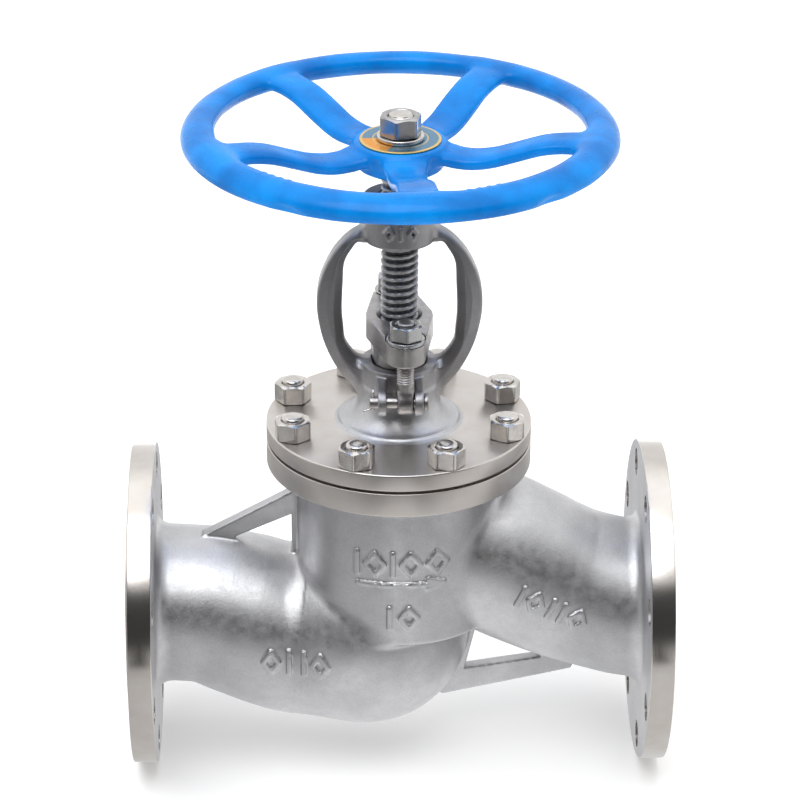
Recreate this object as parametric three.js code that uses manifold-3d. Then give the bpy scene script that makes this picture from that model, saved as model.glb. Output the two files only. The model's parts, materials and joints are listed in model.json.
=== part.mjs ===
// Flanged globe valve, DN100 PN16, with outside screw and yoke, rotating rising stem and handwheel.
// Millimetres. Origin where the pipe axis crosses the stem axis, +X along the flow, +Z up the stem.
// Every named mesh is one separate piece of the valve, shown with the disc closed on its seat.

import * as THREE from 'three';
import { mergeVertices } from 'three/addons/utils/BufferGeometryUtils.js';
import Module from 'manifold-3d';

const wasm = await Module();
wasm.setup();

// ---- Driving dimensions -----------------------------------------------------------------

const gap = 0.3;                       // clearance between neighbouring pieces

const faceToFace = 350;
const flangeR = 105;
const flangeThick = 15.5;
const raisedFaceR = 78;
const raisedFaceHigh = 2;
const flangeBoltCircleR = 90;
const flangeBoltHoleR = 9;
const flangeBoltCount = 8;

const tubeR = 52;                      // outside of the inlet and outlet tubes
const passageR = 45.5;                 // bore through them
const neckFilletR = 8;

const bowlCentre = new THREE.Vector3(-20, 0, -15);
const bowlR = 67;
const bowlWall = 7;

const drumR = 65.5;                    // upright barrel under the body flange
const drumBottom = -12;
const chamberR = 58;
const bridgeBottom = 8;                // wall between the two chambers, which carries the seat
const bridgeTop = 22;

const bodyFlangeR = 85;
const bodyFlangeBottom = 104.7;
const bodyFlangeTop = 120.4;
const bonnetBottom = 122.35;
const jointFaceR = 83.2;               // raised ring that keeps the flanges apart
const jointFaceInnerR = 66.3;
const jointGap = 0.6;
const bonnetTop = 133.5;
const spigotR = 57.3;                  // locates the bonnet in the chamber
const spigotBottom = 116;

const seatBoreR = 44;
const seatTop = 27;
const discR = 52;
const discThick = 13.7;
const discBossR = 22;
const discBossTop = 60;
const lift = 30;

const stemR = 12;
const stemTop = 341.5;
const collarR = 16.5;                  // back seat collar on the stem
const backSeatZ = 120.5;               // foot of the bush that the collar seats on
const bushR = 17.8;
const bushTop = 133.7;
const stemHeadR = 15;
const discNutAcross = 26;

const gasketInnerR = 58.7;
const gasketOuterR = 65.8;

const boxBoreR = 18;                   // stuffing box
const boxBottom = 136;
const boxTop = 174.5;
const neckR = 24.5;
const packingCount = 5;
const packingHigh = 5;

const yokeDepth = 17;
const hubR = 22.6;                     // yoke hub round the stem nut
const hubBottom = 258;
const hubTop = 281;
const stemNutR = 17;
const stemNutFlangeR = 23.5;
const stemNutTop = 287;
const grubScrewR = 2.9;
const grubScrewAt = [0, 20, 270];

const studR = 7;
const studCircleR = 73.5;
const studCount = 8;
const studBottom = 107.3;
const studTop = 149.4;
const studNutAcross = 21.5;
const studNutHigh = 12;

const glandTurn = THREE.MathUtils.degToRad(4.4);
const eyeboltOffset = 39;
const eyeboltR = 5.6;
const eyeZ = 162.4;
const eyeR = 8;
const eyeThick = 10;
const eyePinR = 4;
const eyePinHeadR = 5.8;
const eyePinEnds = [-19.6, 14.9, 17.6];    // plain end, under the head, and over it
const cotterX = 17.2;
const earThick = 5.7;
const earX = 11.6;
const earR = 8.8;
const glandBottom = 165;
const glandPlateBottom = 190.6;
const glandSeatTop = 204;              // spot face under each gland washer
const glandPlateTop = 206.2;
const glandShoulder = 3;
const glandBossR = 12.3;
const glandHalfWidth = 21.3;
const glandNutAcross = 18;
const glandNutTurn = 25;               // degrees
const glandWasherR = 12;
const glandWasherHigh = 2.4;
const glandNutHigh = 9.4;

const wheelR = 125.4;                  // middle of the rim section
const wheelZ = 328.9;
const rimHalfWide = 11.4;
const rimHalfHigh = 7.4;
const rimTilt = -0.36;
const spokeCount = 5;
const spokeWide = 22;
const spokeThick = 8;
const firstSpoke = THREE.MathUtils.degToRad(-85.7);
const wheelHubR = 29.2;
const wheelHubTop = 323.7;
const wheelHubBottom = 304;
const squareSide = 16.6;
const squareTurn = 49.3;               // degrees from +X to the square's corner line
const plateR = 25.5;
const plateThick = 0.9;
const wheelWasherR = 15;
const wheelWasherHigh = 2.5;
const wheelNutAcross = 24;
const topThreadR = 8;

// ---- Materials --------------------------------------------------------------------------

const finish = (color, roughness, metalness) =>
  new THREE.MeshStandardMaterial({ color, roughness, metalness });

const castSteel = finish(0xb9babb, 0.55, 0.9);
const forgedSteel = finish(0x96918e, 0.5, 0.9);
const stemSteel = finish(0x7d7c7c, 0.4, 0.95);
const nutSteel = finish(0xc9c2ba, 0.25, 1.0);
const darkSteel = finish(0x57585b, 0.5, 0.9);
const graphite = finish(0x2c2c2e, 0.8, 0.1);
const blueEnamel = finish(0x1a86e0, 0.25, 0.0);
const plateAluminium = finish(0x5d7f99, 0.35, 0.8);

// ---- Solids -----------------------------------------------------------------------------

// Welds a closed three.js geometry and turns it into a solid with its faces pointing out.
function solid(geometry) {
  const bare = geometry.index ? geometry.clone() : geometry;
  bare.deleteAttribute('normal');
  bare.deleteAttribute('uv');
  const welded = mergeVertices(bare, 1e-4);
  const position = welded.attributes.position.array;
  const triangles = [];
  const index = welded.index.array;
  for (let i = 0; i < index.length; i += 3) {
    const [a, b, c] = [index[i], index[i + 1], index[i + 2]];
    if (a !== b && b !== c && c !== a) triangles.push(a, b, c);
  }
  if (signedVolume(position, triangles) < 0) triangles.reverse();
  return new wasm.Manifold(new wasm.Mesh({
    numProp: 3,
    vertProperties: Float32Array.from(position),
    triVerts: Uint32Array.from(triangles),
  }));
}

function signedVolume(position, triangles) {
  const corner = (i) => new THREE.Vector3().fromArray(position, 3 * triangles[i]);
  let volume = 0;
  for (let i = 0; i < triangles.length; i += 3) {
    volume += corner(i).dot(corner(i + 1).cross(corner(i + 2)));
  }
  return volume;
}

function join(first, ...others) {
  return others.reduce((sum, other) => sum.add(other), first);
}

function cut(first, ...tools) {
  return tools.reduce((rest, tool) => rest.subtract(tool), first);
}

function toGeometry(manifold) {
  const mesh = manifold.getMesh();
  const geometry = new THREE.BufferGeometry();
  geometry.setAttribute('position', new THREE.BufferAttribute(mesh.vertProperties, 3));
  geometry.setIndex(new THREE.BufferAttribute(mesh.triVerts, 1));
  return geometry;
}

// Turned shape about Z. The profile is a list of [radius, height] pairs.
function turned(profile, segments = 28) {
  const points = profile.map(([r, z]) => new THREE.Vector2(r, z));
  return solid(new THREE.LatheGeometry(points, segments).rotateX(Math.PI / 2));
}

function ring(innerR, outerR, bottom, top, segments = 24) {
  const profile = [[innerR, bottom], [outerR, bottom], [outerR, top], [innerR, top], [innerR, bottom]];
  return turned(profile, segments);
}

function rod(r, bottom, top, segments = 24, x = 0, y = 0) {
  return solid(new THREE.CylinderGeometry(r, r, top - bottom, segments)
    .rotateX(Math.PI / 2)
    .translate(x, y, (bottom + top) / 2));
}

// Round bar along X.
function crossRod(r, left, right, y, z, segments = 16) {
  return solid(new THREE.CylinderGeometry(r, r, right - left, segments)
    .rotateZ(Math.PI / 2)
    .translate((left + right) / 2, y, z));
}

function block(low, high) {
  const size = high.map((value, i) => value - low[i]);
  const middle = high.map((value, i) => (value + low[i]) / 2);
  return solid(new THREE.BoxGeometry(...size).translate(...middle));
}

// Plate cut from an outline in the XZ plane, centred on y = 0.
function uprightPlate(shape, thick, bevel = 0, curveSegments = 10) {
  const settings = {
    depth: thick - 2 * bevel,
    curveSegments,
    bevelEnabled: bevel > 0,
    bevelThickness: bevel,
    bevelSize: bevel,
    bevelOffset: -bevel,
    bevelSegments: 1,
  };
  return solid(new THREE.ExtrudeGeometry(shape, settings)
    .translate(0, 0, bevel - thick / 2)
    .rotateX(Math.PI / 2));
}

// Plate cut from an outline in the XY plane.
function flatPlate(shape, bottom, top) {
  const settings = { depth: top - bottom, curveSegments: 10, bevelEnabled: false };
  return solid(new THREE.ExtrudeGeometry(shape, settings).translate(0, 0, bottom));
}

function outline(points) {
  return new THREE.Shape(points.map(([x, y]) => new THREE.Vector2(x, y)));
}

// Round bar of constant size along a smooth curve through points in the XZ plane.
function tube(points, r, steps = 6, segments = 12) {
  const path = new THREE.CatmullRomCurve3(points.map(([x, z]) => new THREE.Vector3(x, 0, z)));
  const section = new THREE.Shape().absarc(0, 0, r, 0, 2 * Math.PI);
  const settings = { steps, curveSegments: segments, extrudePath: path, bevelEnabled: false };
  return solid(new THREE.ExtrudeGeometry(section, settings));
}

function hexagon(across, bottom, top, holeR, chamfer = 1) {
  const cornerR = across / Math.sqrt(3);
  const prism = rod(cornerR, bottom, top, 6);
  const dome = turned([
    [0, bottom], [cornerR + 1, bottom], [cornerR + 1, top - chamfer - 1],
    [across / 2 - 0.5, top], [0, top],
  ], 12);
  return prism.intersect(dome).subtract(rod(holeR, bottom - 1, top + 1, 12));
}

function ringOf(count, radius, phase, make) {
  return Array.from({ length: count }, (_, i) => {
    const angle = phase + (2 * Math.PI * i) / count;
    return make(radius * Math.cos(angle), radius * Math.sin(angle), i, angle);
  });
}

const studPhase = Math.PI / studCount;

// ---- Body -------------------------------------------------------------------------------

const inletPath = [[-148, -0.5], [-122, -2.9], [-100, -10], [-68, -22], [-40, -24]];
const outletPath = [[148, 1.4], [119, 9.7], [102, 16.4], [81, 26.8], [58, 38], [36, 46]];

// Raised face flange and its filleted neck, turned about the pipe axis.
function endFlange(side) {
  const face = faceToFace / 2;
  const back = face - raisedFaceHigh - flangeThick;
  const flange = turned([
    [0, face], [raisedFaceR, face], [raisedFaceR, face - raisedFaceHigh],
    [flangeR, face - raisedFaceHigh], [flangeR, back], [tubeR + neckFilletR, back],
    [tubeR + 2, back - 4], [tubeR - 0.5, back - neckFilletR - 3], [0, back - neckFilletR - 3],
  ], 40);
  const bolts = ringOf(flangeBoltCount, flangeBoltCircleR, Math.PI / flangeBoltCount, (x, y) =>
    rod(flangeBoltHoleR, back - 5, face + 5, 12, x, y));
  return cut(flange, ...bolts).rotate([0, 90 * side, 0]);
}

function leftRib() {
  const web = outline([[-130, 36], [-126, 51], [-64, 86], [-60, 30]]);
  web.holes.push(outline([[-104, 49.5], [-89, 43], [-70, 38], [-70, 65]]));
  return uprightPlate(web, 8);
}

function rightRib() {
  const web = outline([[18, -62], [30, -68.5], [115, -50], [122, -38], [60, -10], [38, -12]]);
  web.holes.push(outline([[51.5, -18.5], [45, -48.5], [93, -41.5]]));
  return uprightPlate(web, 8);
}

function bodyPassages() {
  const mouth = faceToFace / 2 + 3;
  const bowl = solid(new THREE.SphereGeometry(bowlR - bowlWall, 20, 10).translate(...bowlCentre));
  const underBridge = block([-200, -100, bridgeBottom], [200, 100, 200]);
  const inlet = tube([[-mouth, 0], ...inletPath], passageR)
    .subtract(block([-drumR - 1.5, -100, bridgeBottom], [100, 100, 200]));
  const outlet = tube([[mouth, 0], ...outletPath], passageR)
    .subtract(block([-100, -100, -200], [drumR - 1.5, 100, bridgeTop]));
  return [
    bowl.subtract(underBridge), inlet, outlet,
    rod(chamberR, bridgeTop, bodyFlangeTop + 1, 32),
    rod(seatBoreR, -4, bridgeTop + 1, 28),
    rod(seatBoreR + 5.2, bridgeBottom, bridgeTop + 1, 28),
  ];
}

function body() {
  const bowl = solid(new THREE.SphereGeometry(bowlR, 28, 14).translate(...bowlCentre));
  const drum = turned([
    [0, drumBottom], [drumR, drumBottom], [drumR, 90], [68, 98], [74, bodyFlangeBottom],
    [bodyFlangeR, bodyFlangeBottom], [bodyFlangeR, bodyFlangeTop], [0, bodyFlangeTop],
  ], 40);
  const jointFace = ring(jointFaceInnerR, jointFaceR, bodyFlangeTop - 1, bonnetBottom - jointGap, 40);
  const shell = join(
    bowl, drum, jointFace, endFlange(-1), endFlange(1),
    tube(inletPath, tubeR + 0.6), tube(outletPath, tubeR),
    leftRib(), rightRib(),
  );
  const studHoles = ringOf(studCount, studCircleR, studPhase, (x, y) =>
    rod(studR + 0.7, studBottom - gap, bonnetBottom, 10, x, y));
  return cut(shell, ...bodyPassages(), ...studHoles);
}

// ---- Seat, disc and stem ----------------------------------------------------------------

function seatRing() {
  const barrelR = seatBoreR + 4.6;
  return turned([
    [seatBoreR, bridgeBottom + gap], [barrelR, bridgeBottom + gap], [barrelR, bridgeTop + gap],
    [discR + 1, bridgeTop + gap], [discR + 1, seatTop - 1.5], [discR - 0.5, seatTop],
    [seatBoreR + 1, seatTop], [seatBoreR, seatTop - 1], [seatBoreR, bridgeBottom + gap],
  ]);
}

const discBottom = seatTop + gap;
const stemHeadBottom = discBottom + 6.3;
const stemHeadTop = stemHeadBottom + 10.4;

function disc() {
  return turned([
    [0, discBottom], [discR - 1, discBottom], [discR, discBottom + 1],
    [discR, discBottom + discThick - 2], [discR - 4, discBottom + discThick],
    [discBossR + 5, discBottom + discThick], [discBossR, discBottom + discThick + 4],
    [discBossR, discBossTop], [stemHeadR + 3, discBossTop], [stemHeadR + 3, stemHeadTop],
    [stemHeadR + 0.5, stemHeadTop], [stemHeadR + 0.5, stemHeadBottom - gap], [0, stemHeadBottom - gap],
  ]);
}

function discNut() {
  const bottom = stemHeadTop + gap;
  const collar = rod(discNutAcross / Math.sqrt(3) + 6, discBossTop + gap, discBossTop + 6, 6);
  return collar.add(rod(stemHeadR + 2.6, bottom, discBossTop + 1, 28))
    .subtract(rod(stemR - 0.5, bottom - 1, discBossTop + 8, 24));
}

const collarTop = backSeatZ - lift - gap;
const squareTop = wheelHubTop - 1.7;

function stem() {
  const shaft = turned([
    [0, stemHeadBottom], [stemHeadR - 1, stemHeadBottom], [stemHeadR, stemHeadBottom + 1],
    [stemHeadR, stemHeadTop - gap], [stemR - 1, stemHeadTop - gap], [stemR - 1, 74], [stemR, 76],
    [stemR, collarTop - 9], [collarR, collarTop - 7], [collarR, collarTop - 3],
    [stemR, collarTop], [stemR, wheelHubBottom - gap], [0, wheelHubBottom - gap],
  ], 24);
  const half = squareSide / 2;
  const square = block([-half, -half, wheelHubBottom - 1], [half, half, squareTop]);
  const thread = turned([
    [0, squareTop - 1], [topThreadR, squareTop - 1], [topThreadR, stemTop - 1.5],
    [topThreadR - 1.5, stemTop], [0, stemTop],
  ], 20);
  return join(shaft, square.rotate([0, 0, squareTurn]), thread);
}

// ---- Bonnet and yoke --------------------------------------------------------------------

// One half of the yoke's oval, for x > 0, from the neck up to the hub.
const yokeOuter = [[20, 146], [38, 168], [50, 196], [52.8, 220], [48.5, 237], [41, 252], [28, 266]];
const yokeInner = [[16, 172], [27, 178.5], [34, 189], [36.4, 212], [35, 242], [30, 251.5], [23, 256.8]];

function ovalShape(half, lowX, lowZ) {
  const right = half.map(([x, z]) => new THREE.Vector2(x, z));
  const left = half.map(([x, z]) => new THREE.Vector2(-x, z)).reverse();
  const shape = new THREE.Shape();
  shape.moveTo(lowX, lowZ);
  shape.splineThru(right);
  shape.lineTo(left[0].x, left[0].y);
  shape.splineThru([...left.slice(1), new THREE.Vector2(-lowX, lowZ)]);
  shape.closePath();
  return shape;
}

function yokeRing() {
  const outer = ovalShape(yokeOuter, 12, 138);
  const inner = ovalShape(yokeInner, 8, 170);
  const bevel = 3.5;
  const arms = uprightPlate(outer, yokeDepth, bevel, 2);
  const window = uprightPlate(inner, yokeDepth + 40, 0, 2);
  return arms.subtract(window);
}

// A pair of rounded lugs for one eyebolt, and the web that ties them to the neck.
function ears(side) {
  const lug = new THREE.Shape();
  lug.moveTo(0, eyeZ - earR);
  lug.lineTo(eyeboltOffset, eyeZ - earR);
  lug.absarc(eyeboltOffset, eyeZ, earR, -Math.PI / 2, Math.PI / 2);
  lug.lineTo(14, boxTop - 1);
  lug.lineTo(0, boxTop - 1);
  lug.closePath();
  const settings = { depth: earThick, curveSegments: 10, bevelEnabled: false };
  const plate = (x) => solid(new THREE.ExtrudeGeometry(lug, settings)
    .translate(0, 0, -earThick / 2)
    .applyMatrix4(new THREE.Matrix4().set(0, 0, 1, x, side, 0, 0, 0, 0, 1, 0, 0, 0, 0, 0, 1)));
  const bore = crossRod(eyePinR + gap + 0.1, -30, 30, side * eyeboltOffset, eyeZ);
  return [plate(-earX).subtract(bore), plate(earX).subtract(bore)];
}

function bonnet() {
  const shell = turned([
    [0, spigotBottom], [spigotR, spigotBottom], [spigotR, bonnetBottom], [bodyFlangeR, bonnetBottom],
    [bodyFlangeR, bonnetTop], [40, bonnetTop], [38.5, 136], [33, 138.5], [28, 144],
    [neckR, 154], [neckR, boxTop], [0, boxTop],
  ], 40);
  const hub = rod(hubR, hubBottom, hubTop, 32);
  const studHoles = ringOf(studCount, studCircleR, studPhase, (x, y) =>
    rod(studR + 0.8, 110, 140, 10, x, y));
  const casting = join(shell, yokeRing(), hub, ...ears(-1), ...ears(1));
  return cut(
    casting,
    rod(bushR + gap + 0.2, spigotBottom - 1, bushTop + gap, 28),
    rod(stemR + 0.8, bushTop - 1, boxBottom + 1, 24),
    rod(boxBoreR, boxBottom, boxTop + 3, 28),
    rod(stemNutR + gap, hubBottom - 3, hubTop + 1, 28),
    grubScrew(grubScrewR + gap + 0.1, 12),
    ...studHoles,
  );
}

function stemNut() {
  return turned([
    [stemR + 0.4, hubBottom - 1], [stemNutR - 0.1, hubBottom - 1], [stemNutR - 0.1, hubTop + gap],
    [stemNutFlangeR, hubTop + gap], [stemNutFlangeR, stemNutTop - 1.5],
    [stemNutFlangeR - 1.5, stemNutTop], [stemR + 0.4, stemNutTop], [stemR + 0.4, hubBottom - 1],
  ]);
}

// Screw along Y that locks the stem nut in the yoke hub; its hole is a longer one.
function grubScrew(r, long) {
  return solid(new THREE.CylinderGeometry(r, r, long, 16).translate(...grubScrewAt));
}

function backSeatBush() {
  return ring(stemR + 0.5, bushR, backSeatZ, bushTop);
}

// ---- Packing and gland ------------------------------------------------------------------

const packingBase = boxBottom + gap + 3 + gap;
const packingPitch = (glandBottom - gap - packingBase) / packingCount;

// Two round bosses joined by straight sides to a flat shoulder each side of the stem.
function glandOutline() {
  const shape = new THREE.Shape();
  const toShoulder = new THREE.Vector2(glandHalfWidth, eyeboltOffset - glandShoulder);
  const lean = Math.acos(glandBossR / toShoulder.length()) - toShoulder.angle();
  shape.absarc(0, -eyeboltOffset, glandBossR, Math.PI + lean, 2 * Math.PI - lean);
  shape.lineTo(glandHalfWidth, -glandShoulder);
  shape.lineTo(glandHalfWidth, glandShoulder);
  shape.absarc(0, eyeboltOffset, glandBossR, lean, Math.PI - lean);
  shape.lineTo(-glandHalfWidth, glandShoulder);
  shape.lineTo(-glandHalfWidth, -glandShoulder);
  shape.closePath();
  return shape;
}

function gland() {
  const above = glandPlateTop + 1;
  const plate = flatPlate(glandOutline(), glandPlateBottom, glandPlateTop);
  const barrel = rod(boxBoreR - 0.7, glandBottom, glandPlateBottom + 1, 28);
  const boltHoles = [-1, 1].map((side) =>
    rod(eyeboltR + 1, glandPlateBottom - 1, above, 12, 0, side * eyeboltOffset));
  const spotFaces = [-1, 1].map((side) =>
    rod(glandBossR + 0.9, glandSeatTop, above, 20, 0, side * eyeboltOffset));
  const bore = turned([
    [0, glandBottom - 1], [stemR + 0.6, glandBottom - 1], [stemR + 0.6, glandPlateTop - 4],
    [stemR + 2.5, glandPlateTop - 1], [stemR + 2.5, above], [0, above],
  ], 24);
  return cut(join(plate, barrel), bore, ...boltHoles, ...spotFaces)
    .rotate([0, 0, THREE.MathUtils.radToDeg(glandTurn)]);
}

const eyeboltSpot = (side) => [
  -side * eyeboltOffset * Math.sin(glandTurn),
  side * eyeboltOffset * Math.cos(glandTurn),
];

const washerBottom = glandSeatTop + gap;
const glandNutBottom = washerBottom + glandWasherHigh + gap;
const eyeboltTop = glandNutBottom + glandNutHigh + 1.6;

function eyebolt(side) {
  const [x, y] = eyeboltSpot(side);
  const pinY = side * eyeboltOffset;
  const eye = crossRod(eyeR, x - eyeThick / 2, x + eyeThick / 2, pinY, eyeZ, 24);
  const shank = rod(eyeboltR - 0.1, eyeZ, eyeboltTop - 1, 16, x, y);
  const tip = rod(eyeboltR - 1.2, eyeboltTop - 1.5, eyeboltTop, 16, x, y);
  return join(eye, shank, tip).subtract(crossRod(eyePinR + gap + 0.1, -30, 30, pinY, eyeZ));
}

function eyeboltPin(side) {
  const across = (r, left, right, segments) =>
    crossRod(r, left, right, side * eyeboltOffset, eyeZ, segments);
  const [plain, under, over] = eyePinEnds;
  const pin = across(eyePinR, plain, under, 16).add(across(eyePinHeadR, under, over, 20));
  return pin.scale([-side, 1, 1]).subtract(cotterHole(side, 1.6));
}

function cotterHole(side, r) {
  return solid(new THREE.CylinderGeometry(r, r, 14, 12)
    .rotateX(Math.PI / 2)
    .translate(side * cotterX, side * eyeboltOffset, eyeZ));
}

// ---- Fasteners --------------------------------------------------------------------------

function bonnetStud(x, y) {
  return turned([
    [0, studBottom], [studR, studBottom], [studR, studTop - 2.2],
    [studR - 1.4, studTop - 0.6], [0, studTop],
  ], 12).translate([x, y, 0]);
}

function bonnetNut(x, y, i) {
  const bottom = bonnetTop + gap;
  const turn = 11 + 37 * i;
  return hexagon(studNutAcross, bottom, bottom + studNutHigh, studR + 0.6)
    .rotate([0, 0, turn])
    .translate([x, y, 0]);
}

// ---- Handwheel --------------------------------------------------------------------------

function rim() {
  const profile = [];
  const corners = 10;
  for (let i = 0; i <= corners; i += 1) {
    const angle = (2 * Math.PI * (i % corners)) / corners;
    const u = rimHalfWide * Math.cos(angle);
    const v = rimHalfHigh * Math.sin(angle);
    profile.push([
      wheelR + u * Math.cos(rimTilt) - v * Math.sin(rimTilt),
      wheelZ + u * Math.sin(rimTilt) + v * Math.cos(rimTilt),
    ]);
  }
  return turned(profile, 50);
}

function spoke(angle) {
  const middle = -spokeThick / 2;
  const path = new THREE.CatmullRomCurve3([
    [14, -3.5], [34, -5.4], [50, -5.3], [70, 2], [88, 9.2], [119, 11],
  ].map(([r, rise]) => new THREE.Vector3(r, 0, wheelHubTop + middle + rise)));
  const section = new THREE.Shape();
  section.absellipse(0, 0, spokeWide / 2, spokeThick / 2, 0, 2 * Math.PI);
  const settings = { steps: 6, curveSegments: 5, extrudePath: path, bevelEnabled: false };
  return solid(new THREE.ExtrudeGeometry(section, settings).rotateZ(angle));
}

function handwheel() {
  const hub = turned([
    [0, wheelHubBottom], [20, wheelHubBottom], [21, 306.5], [26, 306.8], [27.4, 308.5],
    [27.4, 317], [wheelHubR, 321], [wheelHubR, wheelHubTop], [0, wheelHubTop],
  ]);
  const half = squareSide / 2 + gap;
  const square = block([-half, -half, 300], [half, half, wheelHubTop + 1]).rotate([0, 0, squareTurn]);
  const spokes = ringOf(spokeCount, 1, firstSpoke, (x, y, i, angle) => spoke(angle));
  const above = block([-wheelHubR, -wheelHubR, wheelHubTop], [wheelHubR, wheelHubR, 340]);
  return cut(join(hub, rim(), ...spokes), square, above);
}

const plateTop = wheelHubTop + gap + plateThick;
const wheelWasherBottom = plateTop + gap;
const wheelNutBottom = wheelWasherBottom + wheelWasherHigh + gap;

// ---- Assembly ---------------------------------------------------------------------------

const valve = new THREE.Group();

function add(name, manifold, material) {
  const mesh = new THREE.Mesh(toGeometry(manifold), material);
  mesh.name = name;
  valve.add(mesh);
}

add('body', body(), castSteel);
add('seat_ring', seatRing(), stemSteel);
add('disc', disc(), stemSteel);
add('disc_nut', discNut(), stemSteel);
add('stem', stem(), stemSteel);
add('bonnet', bonnet(), castSteel);
add('bonnet_gasket',
  ring(gasketInnerR, gasketOuterR, bodyFlangeTop + gap, bonnetBottom - gap, 36), graphite);
add('backseat_bush', backSeatBush(), stemSteel);
add('packing_washer', ring(stemR + 0.5, boxBoreR - 0.5, boxBottom + gap, boxBottom + gap + 3), stemSteel);
for (let i = 0; i < packingCount; i += 1) {
  const bottom = packingBase + i * packingPitch;
  const packing = ring(stemR + 0.4, boxBoreR - 0.5, bottom, bottom + packingPitch - gap, 20);
  add(`packing_ring_${i + 1}`, packing, graphite);
}
add('gland', gland(), forgedSteel);
add('stem_nut', stemNut(), darkSteel);
add('grub_screw', grubScrew(grubScrewR, 5), darkSteel);

for (const [place, side] of [['front', -1], ['back', 1]]) {
  const [x, y] = eyeboltSpot(side);
  add(`eyebolt_${place}`, eyebolt(side), forgedSteel);
  add(`eyebolt_pin_${place}`, eyeboltPin(side), forgedSteel);
  add(`cotter_pin_${place}`, cotterHole(side, 1.2), nutSteel);
  const washer = ring(eyeboltR + 0.5, glandWasherR, washerBottom, washerBottom + glandWasherHigh, 24);
  add(`gland_washer_${place}`, washer.translate([x, y, 0]), nutSteel);
  add(`gland_nut_${place}`,
    hexagon(glandNutAcross, glandNutBottom, glandNutBottom + glandNutHigh, eyeboltR + 0.5)
      .rotate([0, 0, side * glandNutTurn]).translate([x, y, 0]), nutSteel);
}

ringOf(studCount, studCircleR, studPhase, (x, y, i) => {
  add(`bonnet_stud_${i + 1}`, bonnetStud(x, y), nutSteel);
  add(`bonnet_nut_${i + 1}`, bonnetNut(x, y, i), nutSteel);
});

add('handwheel', handwheel(), blueEnamel);
add('nameplate', ring(topThreadR + 0.6, plateR, wheelHubTop + gap, plateTop, 32), plateAluminium);
add('wheel_washer',
  ring(topThreadR + 0.6, wheelWasherR, wheelWasherBottom, wheelNutBottom - gap, 24), nutSteel);
add('wheel_nut', hexagon(wheelNutAcross, wheelNutBottom, stemTop - 1, topThreadR + 0.6, 1.4), nutSteel);

export default valve;
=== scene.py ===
"""Flanged DN100 globe valve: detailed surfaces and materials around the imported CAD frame.

Shapes are worked out in millimetres in the frame of the CAD model (origin where the pipe axis
crosses the stem axis, +X along the flow, +Z up the stem) and turned into metres at the end.
"""

import json
import math

import bmesh
import bpy
import numpy as np
from mathutils import Matrix, Vector

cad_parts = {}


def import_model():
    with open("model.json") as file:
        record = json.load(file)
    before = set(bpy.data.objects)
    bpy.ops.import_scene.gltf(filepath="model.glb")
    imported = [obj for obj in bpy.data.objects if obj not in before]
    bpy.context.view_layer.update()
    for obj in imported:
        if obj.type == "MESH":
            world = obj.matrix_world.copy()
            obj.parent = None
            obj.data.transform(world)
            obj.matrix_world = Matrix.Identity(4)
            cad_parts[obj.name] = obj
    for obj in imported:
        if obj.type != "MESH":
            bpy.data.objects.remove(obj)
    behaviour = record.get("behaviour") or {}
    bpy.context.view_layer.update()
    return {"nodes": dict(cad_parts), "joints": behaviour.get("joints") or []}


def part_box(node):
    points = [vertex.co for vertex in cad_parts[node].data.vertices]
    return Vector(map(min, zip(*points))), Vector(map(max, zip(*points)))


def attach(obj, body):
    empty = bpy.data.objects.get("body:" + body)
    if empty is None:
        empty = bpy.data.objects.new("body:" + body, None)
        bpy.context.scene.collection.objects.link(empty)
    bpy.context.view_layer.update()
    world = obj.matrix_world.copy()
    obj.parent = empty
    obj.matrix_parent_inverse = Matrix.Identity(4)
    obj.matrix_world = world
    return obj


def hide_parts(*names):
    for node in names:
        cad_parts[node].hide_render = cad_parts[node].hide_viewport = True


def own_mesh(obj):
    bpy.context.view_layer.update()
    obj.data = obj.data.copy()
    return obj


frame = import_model()

MM = 0.001
TAU = 2 * math.pi


# ---- Sizes, from the frame where a CAD piece or joint gives them --------------------------

def corners(node):
    """Lowest and highest corner of a CAD node, in millimetres."""
    low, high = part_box(node)
    return np.array(low) / MM, np.array(high) / MM


def heights(node):
    """Lowest and highest point of a CAD node, in millimetres."""
    low, high = corners(node)
    return low[2], high[2]


def travel(joint):
    """How far a sliding joint goes, in millimetres."""
    ends = next(j["range_m"] for j in frame["joints"] if j["name"] == joint)
    return round(max(abs(end) for end in ends) / MM, 6)


body_low, body_high = corners("body")
bonnet_high = corners("bonnet")[1]

FACE = body_high[0]                     # pipe flange face
FLANGE_R = -body_low[2]
RIM_THICK = 15.5
RAISED_R, RAISED_HIGH = 78.0, 2.0
BORE_R = 45.5
TUBE_R = 52.0
BOWL = (-20.0, -15.0)                   # centre of the lower bowl, x and z
BOWL_R = 67.0
DRUM_R = 65.5
FLANGE_TOP = 120.4
JOINT_TOP = body_high[2]                # raised joint ring that keeps the flanges apart
JOINT_R = (66.4, 80.0)
CHAMBER_TOP = FLANGE_TOP - 1
BODY_FLANGE_LOW = FLANGE_TOP - 15.7
COVER_R = bonnet_high[0]                # body and bonnet flange radius
COVER_LOW = FLANGE_TOP + 1.95
COVER_TOP = COVER_LOW + 11.15
BOX_TOP = 174.5                         # stuffing box mouth
HUB_LOW, HUB_TOP = 258.0, bonnet_high[2]
HUB_R = 22.6
STUD_CIRCLE = 73.5
BOLTS = 8                               # in the cover and in each end flange
END_CIRCLE, END_HOLE_R = 90.0, 9.0
WALL = 6.0                              # thickness of the pipes
CHAMBER_R, CHAMBER_LOW = 58.0, 22.0     # upper fluid space
SPIGOT_R, SPIGOT_LOW = 57.3, 116.0      # part of the bonnet that sits in the body
BUSH_POCKET_R = 18.2                    # back-seat bush in the bonnet
NECK_R = 24.5
EYE_Y, EYE_Z = 39.0, 162.4
RIM_R, RIM_Z = 125.4, 328.9             # middle of the handwheel rim
RIM_HALF = (11.0, 7.5)                  # half width and half height of the rim's section
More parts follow.
